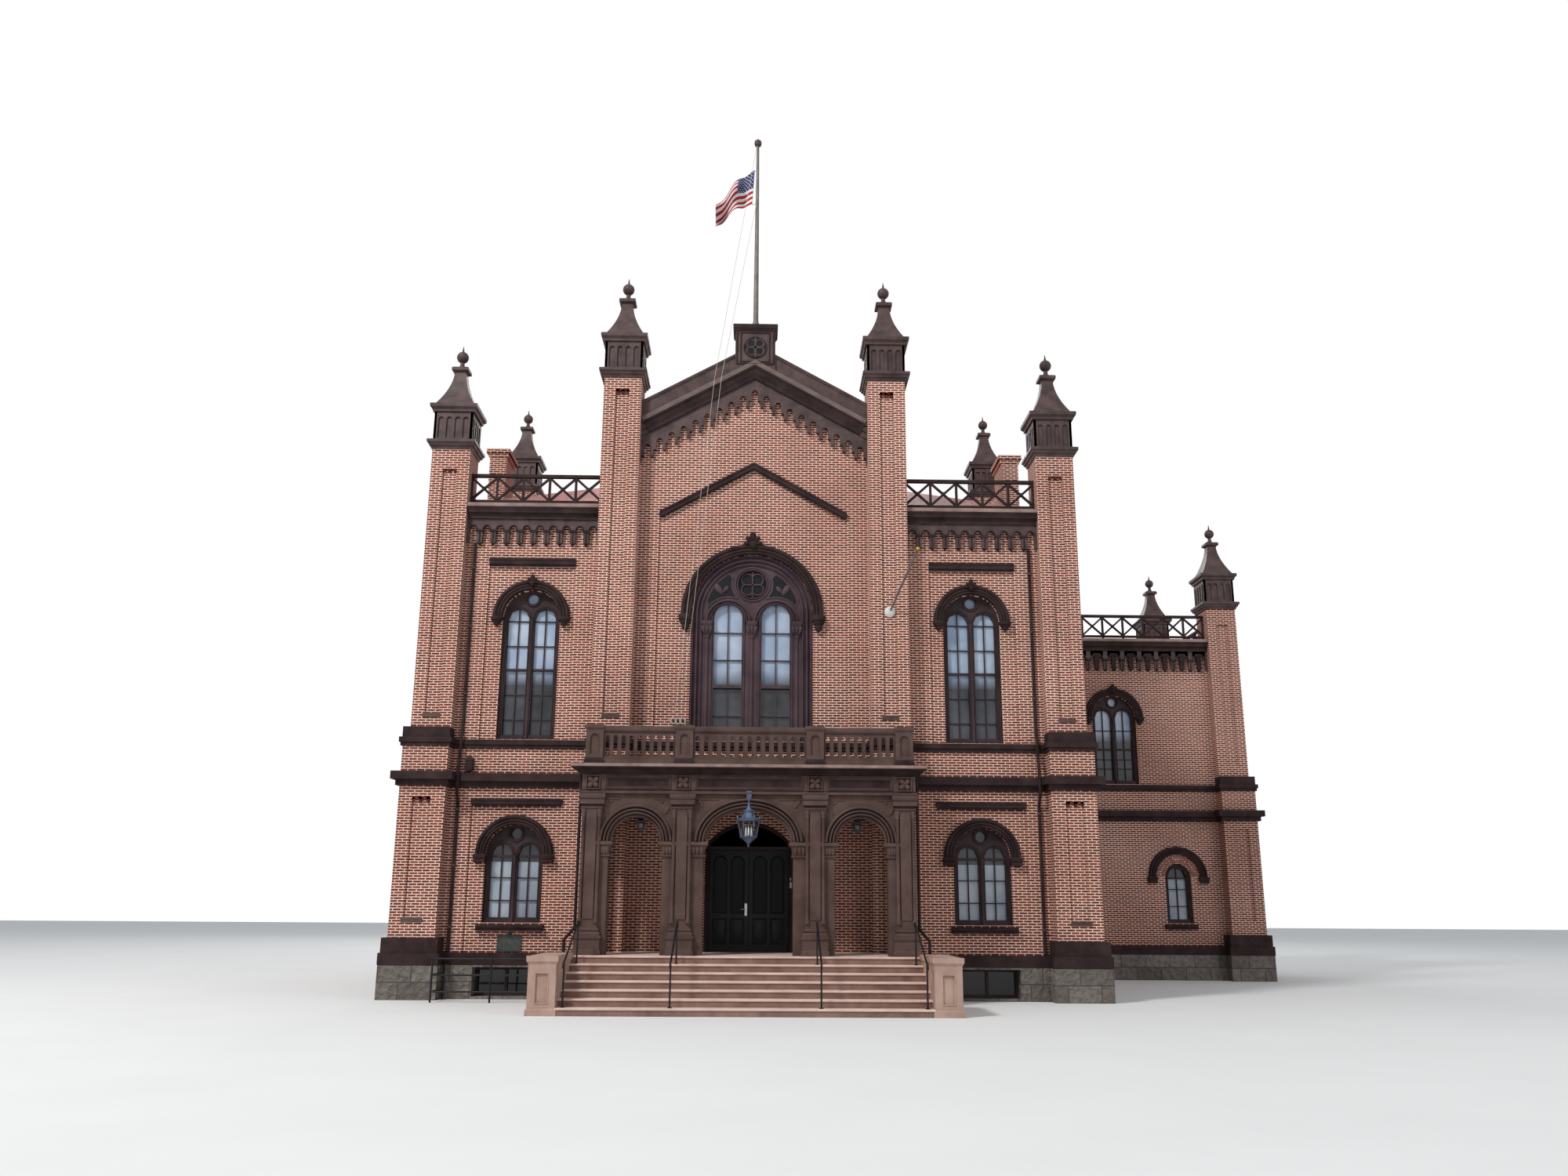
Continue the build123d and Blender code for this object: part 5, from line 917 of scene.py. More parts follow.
# Runs of the eaves in plan, with the drop below the main building's level
EAVES_RUNS = (
    (0.0, [(-INNER, 0.0), (-TALL_EDGE, 0.0)]),
    (0.0, [(TALL_EDGE, 0.0), (INNER, 0.0)]),
    (0.0, [(BODY_HALF, 0.68), (BODY_HALF, 9.57)]),
    (WING_DROP, [(WING_START, WING_FRONT), (WING_INNER, WING_FRONT)]),
    (WING_DROP, [(WING_EDGE, 11.28), (WING_EDGE, 17.52)]),
    (WING_DROP, [(WING_INNER, WING_BACK), (WING_START, WING_BACK)]),
    (0.0, [(INNER, BODY_DEPTH), (-INNER, BODY_DEPTH)]),
    (0.0, [(-BODY_HALF, 18.52), (-BODY_HALF, 10.6)]),
    (0.0, [(-BODY_HALF, 9.57), (-BODY_HALF, 0.68)]),
)


def corbels(x0, x1, y, z, count):
    """Caps, leaves and rods of a row of corbels, and the small rolls over the arches between them."""
    pitch = (x1 - x0) / count
    cap = [(0.29, 0.085, 0.125), (0.3, 0.095, 0.14), (0.36, 0.095, 0.14), (0.37, 0.08, 0.125)]
    parts = []
    for index in range(1, count):
        x = x0 + index * pitch
        rows = [[(x - w, y + 0.02, z + h), (x - w, y - d, z + h), (x + w, y - d, z + h),
                 (x + w, y + 0.02, z + h)] for h, w, d in cap]
        parts.append(skin(np.array(rows)))
        parts.append(leaf(x, y - 0.06, z - 0.06, 0.13, 0.16, 0.065))
        parts.append(rod([(x, y - 0.12, z + 0.03), (x, y - 0.12, z + 0.28)], 0.018, 6))
    for index in range(count):
        path = arch(x0 + (index + 0.5) * pitch, pitch / 2 - 0.075, z + 0.37, z + 0.37, 0.12, y - 0.12, 6)
        parts.append(swept(path, disc(0.016, 6)))
    return parts


def wing_panels():
    """Faces between the wing's corbels: an arched notch on both sides of a drop, with a leaf and a cap."""
    foot, pitch, gap = WALL_TOP - WING_DROP - 1.069, (WING_INNER - WING_START) / WING_BAYS, 0.075
    t = np.linspace(np.pi, 0, 7)
    notch = gap * np.stack([np.cos(t), np.sin(t)], axis=-1)
    parts = []
    for index in range(WING_BAYS):
        left = WING_START + index * pitch + gap
        right = WING_START + (index + 1) * pitch - gap
        outline = np.concatenate([[(right, foot + 0.66), (left, foot + 0.66)],
                                  notch + (left + gap, foot + 0.42),
                                  [(left + 2 * gap, foot), (right - 2 * gap, foot)],
                                  notch + (right - gap, foot + 0.42)])
        parts.append(slab(upright(outline, 0.0), WING_FRONT, WING_FRONT - 0.12))
        middle = (left + right) / 2
        parts.append(leaf(middle, WING_FRONT - 0.06, foot - 0.06, 0.13, 0.16, 0.065))
        parts.append(boxes([(middle - 0.095, middle + 0.095, WING_FRONT - 0.14, WING_FRONT, foot + 0.3,
                             foot + 0.37)]))
    return parts


def build_roof_edge():
    """Curved faces over the stepped cornice, the pale gutter strip and the corbels."""
    fascia = [(12.396, 0.155), (12.41, 0.175), (12.47, 0.178), (12.5, 0.19), (12.53, 0.225), (12.545, 0.262),
              (12.61, 0.266), (12.64, 0.28), (12.67, 0.3), (12.69, 0.306), (12.7, 0.302)]
    strip = [(12.7, 0.303), (12.71, 0.312), (12.78, 0.312), (12.803, 0.303)]
    dark, pale = [], []
    for drop, path in EAVES_RUNS:
        dark.append(course(path, np.array(fascia) - (drop, 0.0)))
        pale.append(course(path, np.array(strip) - (drop, 0.0)))
    dark += corbels(-INNER, -TALL_EDGE, 0.0, 11.731, 10)
    dark += corbels(TALL_EDGE, INNER, 0.0, 11.731, 10)
    dark += corbels(WING_START, WING_INNER, WING_FRONT, 10.431, WING_BAYS)
    dark += wing_panels()
    make("cornice_faces", merged(*dark), "brownstone")
    make("gutter_strips", merged(*pale), "pale_stone")


def railing(length, bays):
    """Railing from x = 0: two rails, uprights, and a cross with a round boss in each bay."""
    high, deep = 0.81, 0.1
    foot, head = 0.07, high - 0.085
    pitch = length / bays
    bars = [(0.0, length, 0.0, deep, 0.0, foot), (0.0, length, -0.01, deep + 0.01, head, high)]
    for index in range(bays + 1):
        x = min(max(index * pitch, 0.03), length - 0.03)
        bars.append((x - 0.032, x + 0.032, 0.01, deep - 0.01, -0.105, high))
    square = [(-0.03, -0.03), (0.03, -0.03), (0.03, 0.03), (-0.03, 0.03)]
    crosses = [swept([(0.0, deep / 2, z0), (pitch, deep / 2, z1)], square)
               for z0, z1 in ((foot, head), (head, foot))]
    boss = lathe([(-0.05, 0.02), (-0.045, 0.05), (0.045, 0.05), (0.05, 0.02)], 10)
    bay = merged(*crosses, tipped(boss, pitch / 2, deep / 2, high / 2, 1))
    return merged(boxes(bars), copies(bay, [(index * pitch, 0, 0) for index in range(bays)]))


def build_railings():
    """Crossed railings over every cornice."""
    quarters = {(1, 0): 0, (0, 1): 1, (-1, 0): 2, (0, -1): 3}
    parts = []
    for drop, (start, end) in EAVES_RUNS:
        run = np.array(end) - np.array(start)
        length = float(np.abs(run).sum())
        quarter = quarters[tuple(int(part) for part in np.sign(run))]
        parts.append(turned(railing(length, round(length / RAILING_BAY)), quarter, (*start, 12.905 - drop)))
    make("railings_full", merged(*parts), "brownstone",
         replaces=["front_railings", "back_railings", "wing_railings"])


def build_panel_trims():
    """Brown sills and corbelled brick heads of the turret panels that face the street."""
    sills, heads = [], []
    for x0, x1, y, foot, top in ((8.1, 8.57, -0.48, 1.94, 4.91), (8.065, 8.447, -0.35, 7.06, 13.8),
                                 (3.44, 3.82, -0.48, 7.08, 16.07)):
        sills.append((x0 - 0.03, x1 + 0.03, y - 0.03, y + 0.08, foot - 0.11, foot))
        for share in (0.0, 0.5, 1.0):
            x = x0 + 0.04 + share * (x1 - x0 - 0.08)
            heads.append((x - 0.04, x + 0.04, y + 0.005, y + 0.07, top - 0.14, top))
            heads.append((x - 0.06, x + 0.06, y + 0.005, y + 0.07, top - 0.07, top))
        heads.append((x0, x1, y + 0.005, y + 0.07, top - 0.03, top))
    make("panel_sills", mirrored(boxes(sills)), "portico_stone")
    make("panel_heads", mirrored(boxes(heads)), "red_brick")


def rake(half, y, top):
    """Path up the gable's slope from half on the left, through its top, and down to half on the right."""
    return [(-half, y, top - SLOPE * half), (0.0, y, top), (half, y, top - SLOPE * half)]


def build_gable():
    """Curved faces and pale coping of the raking cornice, apex tracery, and rolls on the label bars."""
    line = rake(TALL_INNER, 0.0, 17.09)
    dark = np.array([(-0.463, 0.16), (-0.45, 0.178), (-0.36, 0.182), (-0.335, 0.19), (-0.31, 0.212),
                     (-0.2, 0.218), (-0.185, 0.228), (-0.165, 0.252), (-0.15, 0.262), (-0.12, 0.264),
                     (-0.12, 0.0), (-0.463, 0.0)])
    pale = np.array([(-0.12, 0.0), (-0.12, 0.268), (-0.1, 0.278), (0.0, 0.278), (0.012, 0.26), (0.012, 0.0)])
    upstand = [(0.0, -0.08), (0.0, 0.19), (0.34, 0.19), (0.36, 0.215), (0.385, 0.22), (0.4, 0.235),
               (0.44, 0.235), (0.44, -0.08)]
    make("raking_faces", swept(line, dark), "brownstone")
    make("raking_coping", swept(line, pale), "coping_stone")
    make("gable_upstand", swept(line, upstand), "dark_metal")
    y, eye = -0.25, 17.47
    # Near-black disc behind the apex tracery: painted shade in the sunk eye
    make("apex_shade_plate", slab(circle(0, eye, 0.32, 0.0, 32), y - 0.006, y + 0.01), "door_timber")
    tracery = [boxes([(-0.03, 0.03, y - 0.03, y, eye - 0.3, eye + 0.3),
                      (-0.15, 0.15, y - 0.03, y, eye - 0.03, eye + 0.03)])]
    for degrees in (45, 135, 225, 315):
        a = math.radians(degrees)
        foil = circle(0.165 * math.cos(a), eye + 0.165 * math.sin(a), 0.125, y, 16)
        tracery.append(swept(foil, disc(0.03, 6), ring=True))
    make("apex_tracery", merged(*tracery), "dark_metal")
    parts = [swept(oblong(-0.54, 0.54, 16.95, 18.02, y), rolls(0.0, (0.05,), (0.03,)), ring=True),
             swept(oblong(-0.42, 0.42, 17.02, 17.94, y), rolls(0.0, (0.04,), (0.025,)), ring=True),
             swept(circle(0, eye, 0.33, y, 32), rolls(0.0, (0.05,), (0.035,)), ring=True)]
    parts.append(course(around(0, 0.45, y, 0.56), [(17.97, 0.0), (17.99, 0.03), (18.04, 0.04), (18.06, 0.066),
                                                   (18.15, 0.07), (18.172, 0.05)]))
    bars = []
    for x0, x1, z0, z1 in ((4.77, 7.08, 11.15, 11.32), (4.82, 7.15, 4.77, 4.91)):
        bars += [(x0, x1, -0.085, -0.06, z1 - 0.055, z1), (x0 + 0.03, x1 - 0.03, -0.04, 0.03, z0 - 0.045, z0)]
    parts.append(mirrored(boxes(bars)))
    chevron = rake(2.56, -0.07, 14.128)
    parts.append(swept(chevron, [(-0.05, 0.0), (-0.05, 0.02), (0.0, 0.02), (0.0, 0.0)]))
    parts.append(swept(chevron, [(-0.19, -0.07), (-0.19, -0.03), (-0.15, -0.03), (-0.15, -0.07)]))
    make("gable_and_label_rolls", merged(*parts), "brownstone")


# Portico

# Middles of the piers, and plan path round the portico
PIERS = (-3.726, -1.58, 1.58, 3.726)
PORTICO_RUN = around(0, -0.48, PORTICO_FRONT, 3.95)
# Middle, half width and rise of each arch
ARCHES = ((-2.676, 0.638, 0.638), (0.0, 1.062, 0.8), (2.676, 0.638, 0.638))


def portico_arches(y):
    """Rolls of the arches with their imposts, and dark strips of painted shade behind the rolls."""
    arches, shade_strips = [], []
    for x, half, rise in ARCHES:
        curve = arch(x, half, SPRINGING, SPRINGING, rise, y, 24)
        for start, width, depth in ((0.0, 0.055, 0.08), (0.075, 0.06, 0.095), (0.155, 0.075, 0.11)):
            arches.append(swept(curve, rolls(start, (width,), (depth,), 0.02) * (-1, 1)))
        # Painted shade: a dark band behind the arch's rolls
        shade_strips.append(swept(curve, np.array([(0.0, 0.0), (0.0, 0.03), (0.21, 0.03), (0.21, 0.0)]) * (-1, 1)))
        edge = arch(x, half - 0.035, SPRINGING, SPRINGING, rise - 0.035, y + 0.04, 24)
        arches.append(swept(edge, rolls(-0.035, (0.07,), (0.035,))))
    impost = [(3.37, 0.0), (3.385, 0.04), (3.42, 0.045), (3.43, 0.02), (3.52, 0.025), (3.6, 0.05),
              (3.64, 0.075), (3.65, 0.1), (3.7, 0.102), (3.73, 0.09)]
    for x0, x1 in ((-3.496, -3.314), (-2.038, -1.81), (-1.35, -1.062), (1.062, 1.35), (1.81, 2.038),
                   (3.314, 3.496)):
        arches.append(course([(x0, y + 0.38), (x0, y), (x1, y), (x1, y + 0.38)], impost))
        for share in (0.5, 1.5, 2.5):
            arches.append(leaf(x0 + (x1 - x0) * share / 3, y - 0.045, 3.42, 0.09, 0.22, 0.03))
    return arches, shade_strips


def pier(x, y):
    """Mouldings and colonnettes of the pier at x, and its dark strips of painted shade."""
    shaft = around(x, y, y - 0.08, 0.23)
    pedestal = around(x, y, y - 0.14, 0.3)
    foot = [(1.58, 0.065), (1.62, 0.07), (1.65, 0.055), (1.67, 0.03), (1.7, 0.04), (1.73, 0.035),
            (1.75, 0.005)]
    head = [(4.48, 0.0), (4.5, 0.025), (4.53, 0.025), (4.54, 0.01), (4.6, 0.015), (4.64, 0.045),
            (4.66, 0.065), (4.7, 0.065), (4.72, 0.05), (4.76, 0.075), (4.8, 0.08), (4.84, 0.08)]
    column = [(1.86, 0.055), (1.94, 0.055), (1.97, 0.04), (4.28, 0.038), (4.3, 0.055), (4.36, 0.045),
              (4.42, 0.062), (4.48, 0.062)]
    parts = [course(pedestal, [(FLOOR_TOP, 0.0), (FLOOR_TOP, 0.025), (1.24, 0.025), (1.27, 0.0)]),
             course(pedestal, [(1.48, 0.0), (1.5, 0.02), (1.53, 0.03), (1.57, 0.03), (1.585, 0.0)]),
             course(shaft, foot), course(shaft, head)]
    parts += [lathe(column, 12, x + side * 0.19, y - 0.085) for side in (-1, 1)]
    parts.append(boxes([(x - 0.125, x + 0.125, y - 0.1, y - 0.08, 1.95, 4.42)]))
    # Painted shade: dark lines under and in the capital, at the foot, and beside the colonnettes
    shade_strips = [course(shaft, [(4.54, 0.0), (4.54, 0.018), (4.59, 0.02), (4.59, 0.0)]),
               course(shaft, [(4.705, 0.0), (4.705, 0.072), (4.725, 0.072), (4.725, 0.0)]),
               course(shaft, [(1.66, 0.0), (1.66, 0.04), (1.69, 0.04), (1.69, 0.0)]),
               boxes([(x + side * 0.142 - 0.013, x + side * 0.142 + 0.013, y - 0.084, y - 0.07, 1.97, 4.4)
                      for side in (-1, 1)])]
    return parts, shade_strips


def build_portico():
    """Arch rolls, carved imposts, pier mouldings, colonnettes, frieze panels with flowers, and cornice."""
    y = PORTICO_FRONT
    arches, shade_strips = portico_arches(y)
    make("portico_arch_mouldings_full", merged(*arches), "portico_stone", replaces=["portico_arch_mouldings"])
    parts = []
    for x in PIERS:
        mouldings, pier_shade = pier(x, y)
        parts += mouldings
        shade_strips += pier_shade
    parts.append(course(PORTICO_RUN, [(4.84, 0.06), (4.85, 0.085), (4.89, 0.09), (4.91, 0.07), (4.92, 0.06)]))
    shade_strips.append(course(PORTICO_RUN, [(4.915, 0.055), (4.915, 0.071), (4.94, 0.066), (4.94, 0.055)]))
    front = y - 0.06
    for x0, x1 in ((-3.44, -1.87), (-1.29, 1.29), (1.87, 3.44)):
        edge = rolls(0.0, (0.035, 0.025), (0.045, 0.02))
        parts.append(swept(oblong(x0, x1, 4.96, 5.27, front), edge, ring=True))
        shade_strips.append(boxes([(x0 + 0.04, x1 - 0.04, front - 0.006, front + 0.01, 5.0, 5.23)]))
    for x in PIERS:
        edge = oblong(x - 0.18, x + 0.18, 4.935, 5.295, front)
        parts.append(swept(edge, rolls(0.0, (0.04,), (0.05,)), ring=True))
        shade_strips.append(boxes([(x - 0.16, x + 0.16, front - 0.008, front + 0.01, 4.955, 5.275)]))
        parts += [leaf(x, front - 0.01, 5.115, 0.12, 0.165, 0.05, lean) for lean in (45, 135, 225, 315)]
        parts.append(leaf(x, front - 0.03, 5.085, 0.06, 0.06, 0.035))
    cornice = [(5.3, 0.06), (5.32, 0.085), (5.345, 0.1), (5.36, 0.147), (5.385, 0.165), (5.41, 0.19),
               (5.43, 0.235), (5.445, 0.285), (5.45, 0.293), (5.47, 0.293)]
    make("portico_cornice_face", course(PORTICO_RUN, cornice), "brownstone")
    # Dark strips and panel backs of painted shade behind the arch rolls, capitals, frieze panels and cornice
    make("portico_shade_strips", merged(*shade_strips), "brownstone")
    for x, half, _ in ARCHES:
        centre = x == 0.0
        for side in (-1, 1):
            edge = x + side * (half + 0.02)
            parts.append(leaf(edge, y - 0.005, 4.52 if centre else 4.36, 0.1, 0.22, 0.02, side * 30))
            end = x + side * (1.3 if centre else 0.7)
            inner = end - side * (0.58 if centre else 0.3)
            parts.append(boxes([(min(end, inner), max(end, inner), y - 0.022, y + 0.01, 4.72, 4.745)]))
            parts.append(leaf(end - side * 0.06, y - 0.005, 4.63, 0.07, 0.1, 0.025, side * -40))
    make("portico_mouldings", merged(*parts), "portico_stone")
    strip = [(5.47, 0.292), (5.475, 0.3), (5.53, 0.302), (5.545, 0.285)]
    make("portico_strip", course(PORTICO_RUN, strip), "pale_stone")


def slotted_run(x0, x1, slots, y):
    """Parapet panel with through slots, and a thin roll round each slot's head."""
    pitch = (x1 - x0) / slots
    parts = []
    for index in range(slots):
        left = x0 + index * pitch
        parts.append(niche(left, left + pitch, 5.7, 6.33, 0.06, 5.76, 6.2, y + 0.04, 0.0, y + 0.14, 8,
                           through=True))
        edge = arch(left + pitch / 2, 0.06, 5.78, 6.2, y=y + 0.04, chords=8)
        parts.append(swept(edge, disc(0.014, 6) * (-1, 1)))
    return merged(*parts)


def build_parapet():
    """Parapet of the portico: base, slotted panels, moulded rail, and posts with arched panels."""
    y = -2.47
    base = [(5.54, 0.012), (5.6, 0.012), (5.62, 0.0), (5.68, 0.0), (5.7, 0.0)]
    rail = [(6.33, -0.03), (6.345, -0.005), (6.36, 0.012), (6.39, 0.018), (6.45, 0.018), (6.47, 0.0)]
    parts = []
    for x0, x1, slots in ((-3.53, -1.79, 9), (-1.37, 1.37, 13), (1.79, 3.53, 9)):
        parts.append(slotted_run(x0, x1, slots, y))
        loop = around((x0 + x1) / 2, y + 0.18, y, (x1 - x0) / 2)
        for profile in (base, rail):
            parts.append(course(loop, profile, ring=True))
            parts.append(boxes([(x0, x1, y + 0.01, y + 0.17, profile[0][0], profile[-1][0])]))
    bars = boxes([(0.48, 2.29, 0.0, 0.18, 5.54, 5.7), (0.48, 2.29, -0.01, 0.19, 6.33, 6.47)])
    end = merged(slotted_run(0.48, 2.29, 8, 0.0), bars)
    parts.append(turned(end, -1, (-3.95, 0, 0)))
    parts.append(turned(end, 1, (3.95, -2.77, 0)))
    plinths = []
    for x in (-3.74, -1.58, 1.58, 3.74):
        loop = around(x, y + 0.2, y - 0.02, 0.21)
        parts.append(niche(x - 0.21, x + 0.21, 5.7, 6.42, 0.11, 5.8, 6.18, y - 0.02, 0.03, y + 0.2, 12))
        parts.append(swept(arch(x, 0.11, 5.8, 6.18, y=y - 0.02, chords=12), disc(0.014, 6) * (-1, 1)))
        parts.append(boxes([(x - 0.2, x + 0.2, y - 0.01, y + 0.19, 6.4, 6.49)]))
        cap = [(6.38, 0.0), (6.4, 0.02), (6.43, 0.035), (6.46, 0.035), (6.5, 0.015)]
        parts.append(course(loop, cap, ring=True))
        foot = [(5.54, 0.03), (5.64, 0.03), (5.67, 0.012), (5.7, 0.005)]
        plinths.append(course(loop, foot, ring=True))
        plinths.append(boxes([(x - 0.21, x + 0.21, y - 0.02, y + 0.2, 5.54, 5.7)]))
    make("parapet_full", merged(*parts), "portico_stone", replaces=["portico_parapet"])
    make("parapet_plinths", merged(*plinths), "brownstone")


def stair_rails():
    """Four handrails over the steps: each a long bar with a round return at both ends, on two posts."""
    rise = 0.86
    y0, z0 = -3.14, 0.977
    y1, z1 = y0 - 5 * RUN, z0 - 5 * RISER
    t = np.linspace(0, np.pi, 8)
    bend = 0.06 * np.stack([0 * t, np.sin(t), np.cos(t)], axis=-1)
    rails = []
    for x in (-3.85, -1.6, 1.6, 3.85):
        low = bend * (1, -1, 1) + (x, y1 - 0.09, z1 + rise)
        high = bend + (x, y0 + 0.09, z0 + rise)
        slope = [(x, y0, z0 + rise + 0.06), (x, y1, z1 + rise + 0.06)]
        rails.append(rod(np.concatenate([high[::-1], slope, low]), 0.021, 10))
        for y, z in ((y0, z0), (y1, z1)):
            rails.append(rod([(x, y, z - 0.01), (x, y, z + 0.91)], 0.02, 10))
            rails.append(lathe([(z, 0.05), (z + 0.012, 0.05), (z + 0.02, 0.025)], 12, x, y))
    return rails


def side_rails():
    """Three-bar railing on the ground at the left of the portico, with its posts and their caps."""
    near, far, left = -1.45, -0.25, -7.5
    rails = [rod([(-4.21, near, z), (left, near, z), (left, far, z)], 0.022, 10, (0, 0, 1))
             for z in (0.25, 0.63, 1.0)]
    for x, y in ((left, near), (-6.1, near), (left, far)):
        rails.append(rod([(x, y, 0.0), (x, y, 1.0)], 0.024, 10))
        rails.append(leaf(x, y, 0.985, 0.06, 0.05, 0.03))
    return rails


def build_steps():
    """Stone treads with rounded nosings over risers darkened with painted shade, the cheek mouldings, and the
    iron handrails.
    """
    edge, half = -2.95, 3.99
    a = np.linspace(np.pi / 2, 3 * np.pi / 2, 7)
    nosing = np.stack([-0.022 + 0.022 * np.cos(a), 0.022 * np.sin(a) - 0.022], axis=-1)
    treads, risers = [], []
    for index in range(1, 7):
        top, front = FLOOR_TOP - index * RISER, edge - index * RUN
        back = front + RUN + 0.02
        section = np.concatenate([[(back, top)], nosing + (front + 0.044, top), [(back, top - 0.044)]])
        treads.append(prism(section, -half, half))
        risers.append((-half, half, front + 0.028, edge, top - RISER, top - 0.03))
    section = np.concatenate([[(edge + 0.02, 1.141)], nosing + (edge + 0.01, 1.141), [(edge + 0.02, 1.097)]])
    treads.append(prism(section, -half, half))
    risers.append((-half, half, edge - 0.004, edge + 0.02, 0.97, 1.1))
    make("step_treads", merged(*treads), "step_stone", replaces=["front_steps"])
    # Risers in the darker copy of the step stone: painted shade
    make("step_risers", boxes(risers), "riser_stone")
    ring = [(-4.58, -2.96), (-4.58, -5.19), (-half, -5.19), (-half, -2.96)]
    cap = [(1.04, 0.0), (1.06, 0.015), (1.09, 0.025), (1.1, 0.038), (1.19, 0.04), (1.21, 0.025)]
    cheeks = [course(ring, cap, ring=True),
              course(ring, [(0.0, 0.0), (0.0, 0.03), (0.12, 0.03), (0.15, 0.0)], ring=True),
              swept(oblong(-4.415, -4.155, 0.26, 0.86, -5.19), rolls(-0.02, (0.03,), (0.015,)), ring=True)]
    make("cheek_mouldings", mirrored(merged(*cheeks)), "cheek_stone")
    make("handrails_full", merged(*stair_rails(), *side_rails()), "iron", replaces=["handrails"])


def lamp(scale=1.0):
    """Six-sided lantern from its lower knob at z = 0: metal, panes and candles."""
    bowl = [(0.0, 0.008), (0.03, 0.03), (0.07, 0.02), (0.1, 0.05), (0.16, 0.11), (0.22, 0.185),
            (0.235, 0.205), (0.255, 0.205), (0.258, 0.18)]
    rim = [(0.6, 0.24), (0.605, 0.278), (0.63, 0.282), (0.645, 0.25)]
    hat = [(0.635, 0.25), (0.66, 0.2), (0.72, 0.15), (0.8, 0.115), (0.825, 0.11), (0.828, 0.13), (0.86, 0.13),
           (0.87, 0.08), (0.9, 0.055), (0.96, 0.03), (1.0, 0.03), (1.02, 0.012)]
    frames = [lathe(profile, 6) for profile in (bowl, rim, hat)]
    for index in range(6):
        a = math.radians(60 * index)
        cos, sin = math.cos(a), math.sin(a)
        path = [(r * cos, r * sin, z) for r, z in ((0.188, 0.256), (0.25, 0.61))]
        frames.append(swept(path, disc(0.011, 6), normal=(-sin, cos, 0)))
        knob = [(0.63, 0.008), (0.66, 0.018), (0.69, 0.02), (0.72, 0.004)]
        frames.append(lathe(knob, 8, 0.262 * cos, 0.262 * sin))
    candle = [(0.27, 0.02), (0.44, 0.02), (0.45, 0.008), (0.48, 0.01), (0.5, 0.002)]
    candles = [lathe(candle, 10, 0.07 * math.cos(a), 0.07 * math.sin(a)) for a in (0.5, 2.6, 4.7)]
    panes = lathe([(0.257, 0.18), (0.603, 0.24)], 6)
    return [(part[0] * scale, part[1]) for part in (merged(*frames), panes, merged(*candles))]


def build_lanterns():
    """The large lantern before the centre arch and the two small ones under the ceiling."""
    y = -2.9
    spots = [(-2.676, -1.225, 4.0), (2.676, -1.225, 4.0)]
    groups = [merged(copies(large, [(0, y, 3.59)]), copies(small, spots))
              for large, small in zip(lamp(), lamp(0.45))]
    a = np.linspace(0, np.pi / 2, 5)
    bend = np.stack([0 * a, y + 0.06 * (1 - np.cos(a)), 4.775 + 0.06 * np.sin(a)], axis=-1)
    arm = rod(np.concatenate([[(0, y, 4.55)], bend, [(0, -2.5, 4.835)]]), 0.014, 8)
    plate = boxes([(-0.06, 0.06, -2.535, -2.505, 4.74, 4.93)])
    hangers = [rod([(x, depth, z + 0.44), (x, depth, 5.38)], 0.007, 6) for x, depth, z in spots]
    make("lantern_frames", merged(groups[0], arm, plate, *hangers), "lantern_metal", replaces=["lantern"])
    make("lantern_panes", groups[1], "lamp_glass", angle=20)
    make("lantern_candles", groups[2], "wax")


def build_entrance():
    """Panel mouldings, panes and lever of the two leaves, and the beaded frame round them."""
    middles, light = (-0.73175, -0.28725), 0.16225
    for side, name in ((-1, "left"), (1, "right")):
        parts = []
        for x in middles:
            outline = arch(x, light, 2.1, 3.338, y=0.165, chords=12)
            parts.append(swept(outline, rolls(-0.02, (0.022, 0.018), (0.016, 0.01)) * (-1, 1), ring=True))
            parts.append(swept(oblong(x - light, x + light, 1.35, 1.95, 0.165),
                               rolls(-0.018, (0.02, 0.02), (0.014, 0.01)), ring=True))
            parts.append(tablet(x, 1.65, ((0.12, 0.26, 0.19), (0.12, 0.26, 0.18), (0.09, 0.23, 0.17))))
        parts.append(boxes([(-0.99, -0.03, 0.158, 0.17, 1.18, 1.3)]))
        points, faces = merged(*parts)
        if side > 0:
            points, faces = points * (-1, 1, 1), [rows[:, ::-1] for rows in faces]
        make("leaf_panels_" + name, (points, faces), "door_timber", body="door_" + name)
        panes = [slab(arch(x, 0.155, 2.11, 3.338, y=0.0, chords=12) * (-side, 1, 1), 0.182, 0.176)
                 for x in middles]
        make("leaf_glass_" + name, merged(*panes), "door_glass", body="door_" + name)
    plate = boxes([(-0.095, -0.035, 0.152, 0.168, 2.03, 2.33)])
    handle = rod([(-0.065, 0.16, 2.19), (-0.065, 0.105, 2.19), (-0.185, 0.105, 2.19)], 0.011, 8, (0, 0, 1))
    make("door_lever", merged(plate, handle), "bright_metal", body="door_left")
    box = boxes([(1.045, 1.1, 0.05, 0.1, 2.72, 2.86), (1.05, 1.09, 0.06, 0.1, 2.9, 2.97)])
    make("entry_box", box, "pole_paint")
    beads = rolls(0.0, (0.03, 0.025, 0.045), (0.02, 0.03, 0.025)) * (-1, 1)
    shaft = [(FLOOR_TOP, 0.045), (1.4, 0.045), (1.43, 0.03), (3.4, 0.028), (3.42, 0.042), (3.48, 0.04),
             (3.56, 0.055), (3.6, 0.055)]
    surround = [swept(arch(0, 1.02, FLOOR_TOP, 3.75, 0.52, 0.1, 24), beads),
                boxes([(-1.02, 1.02, 0.075, 0.12, 3.665, 3.745)])]
    surround += [lathe(shaft, 12, x, 0.08) for x in (-1.1, 1.1)]
    make("entrance_rolls", merged(*surround), "window_timber")


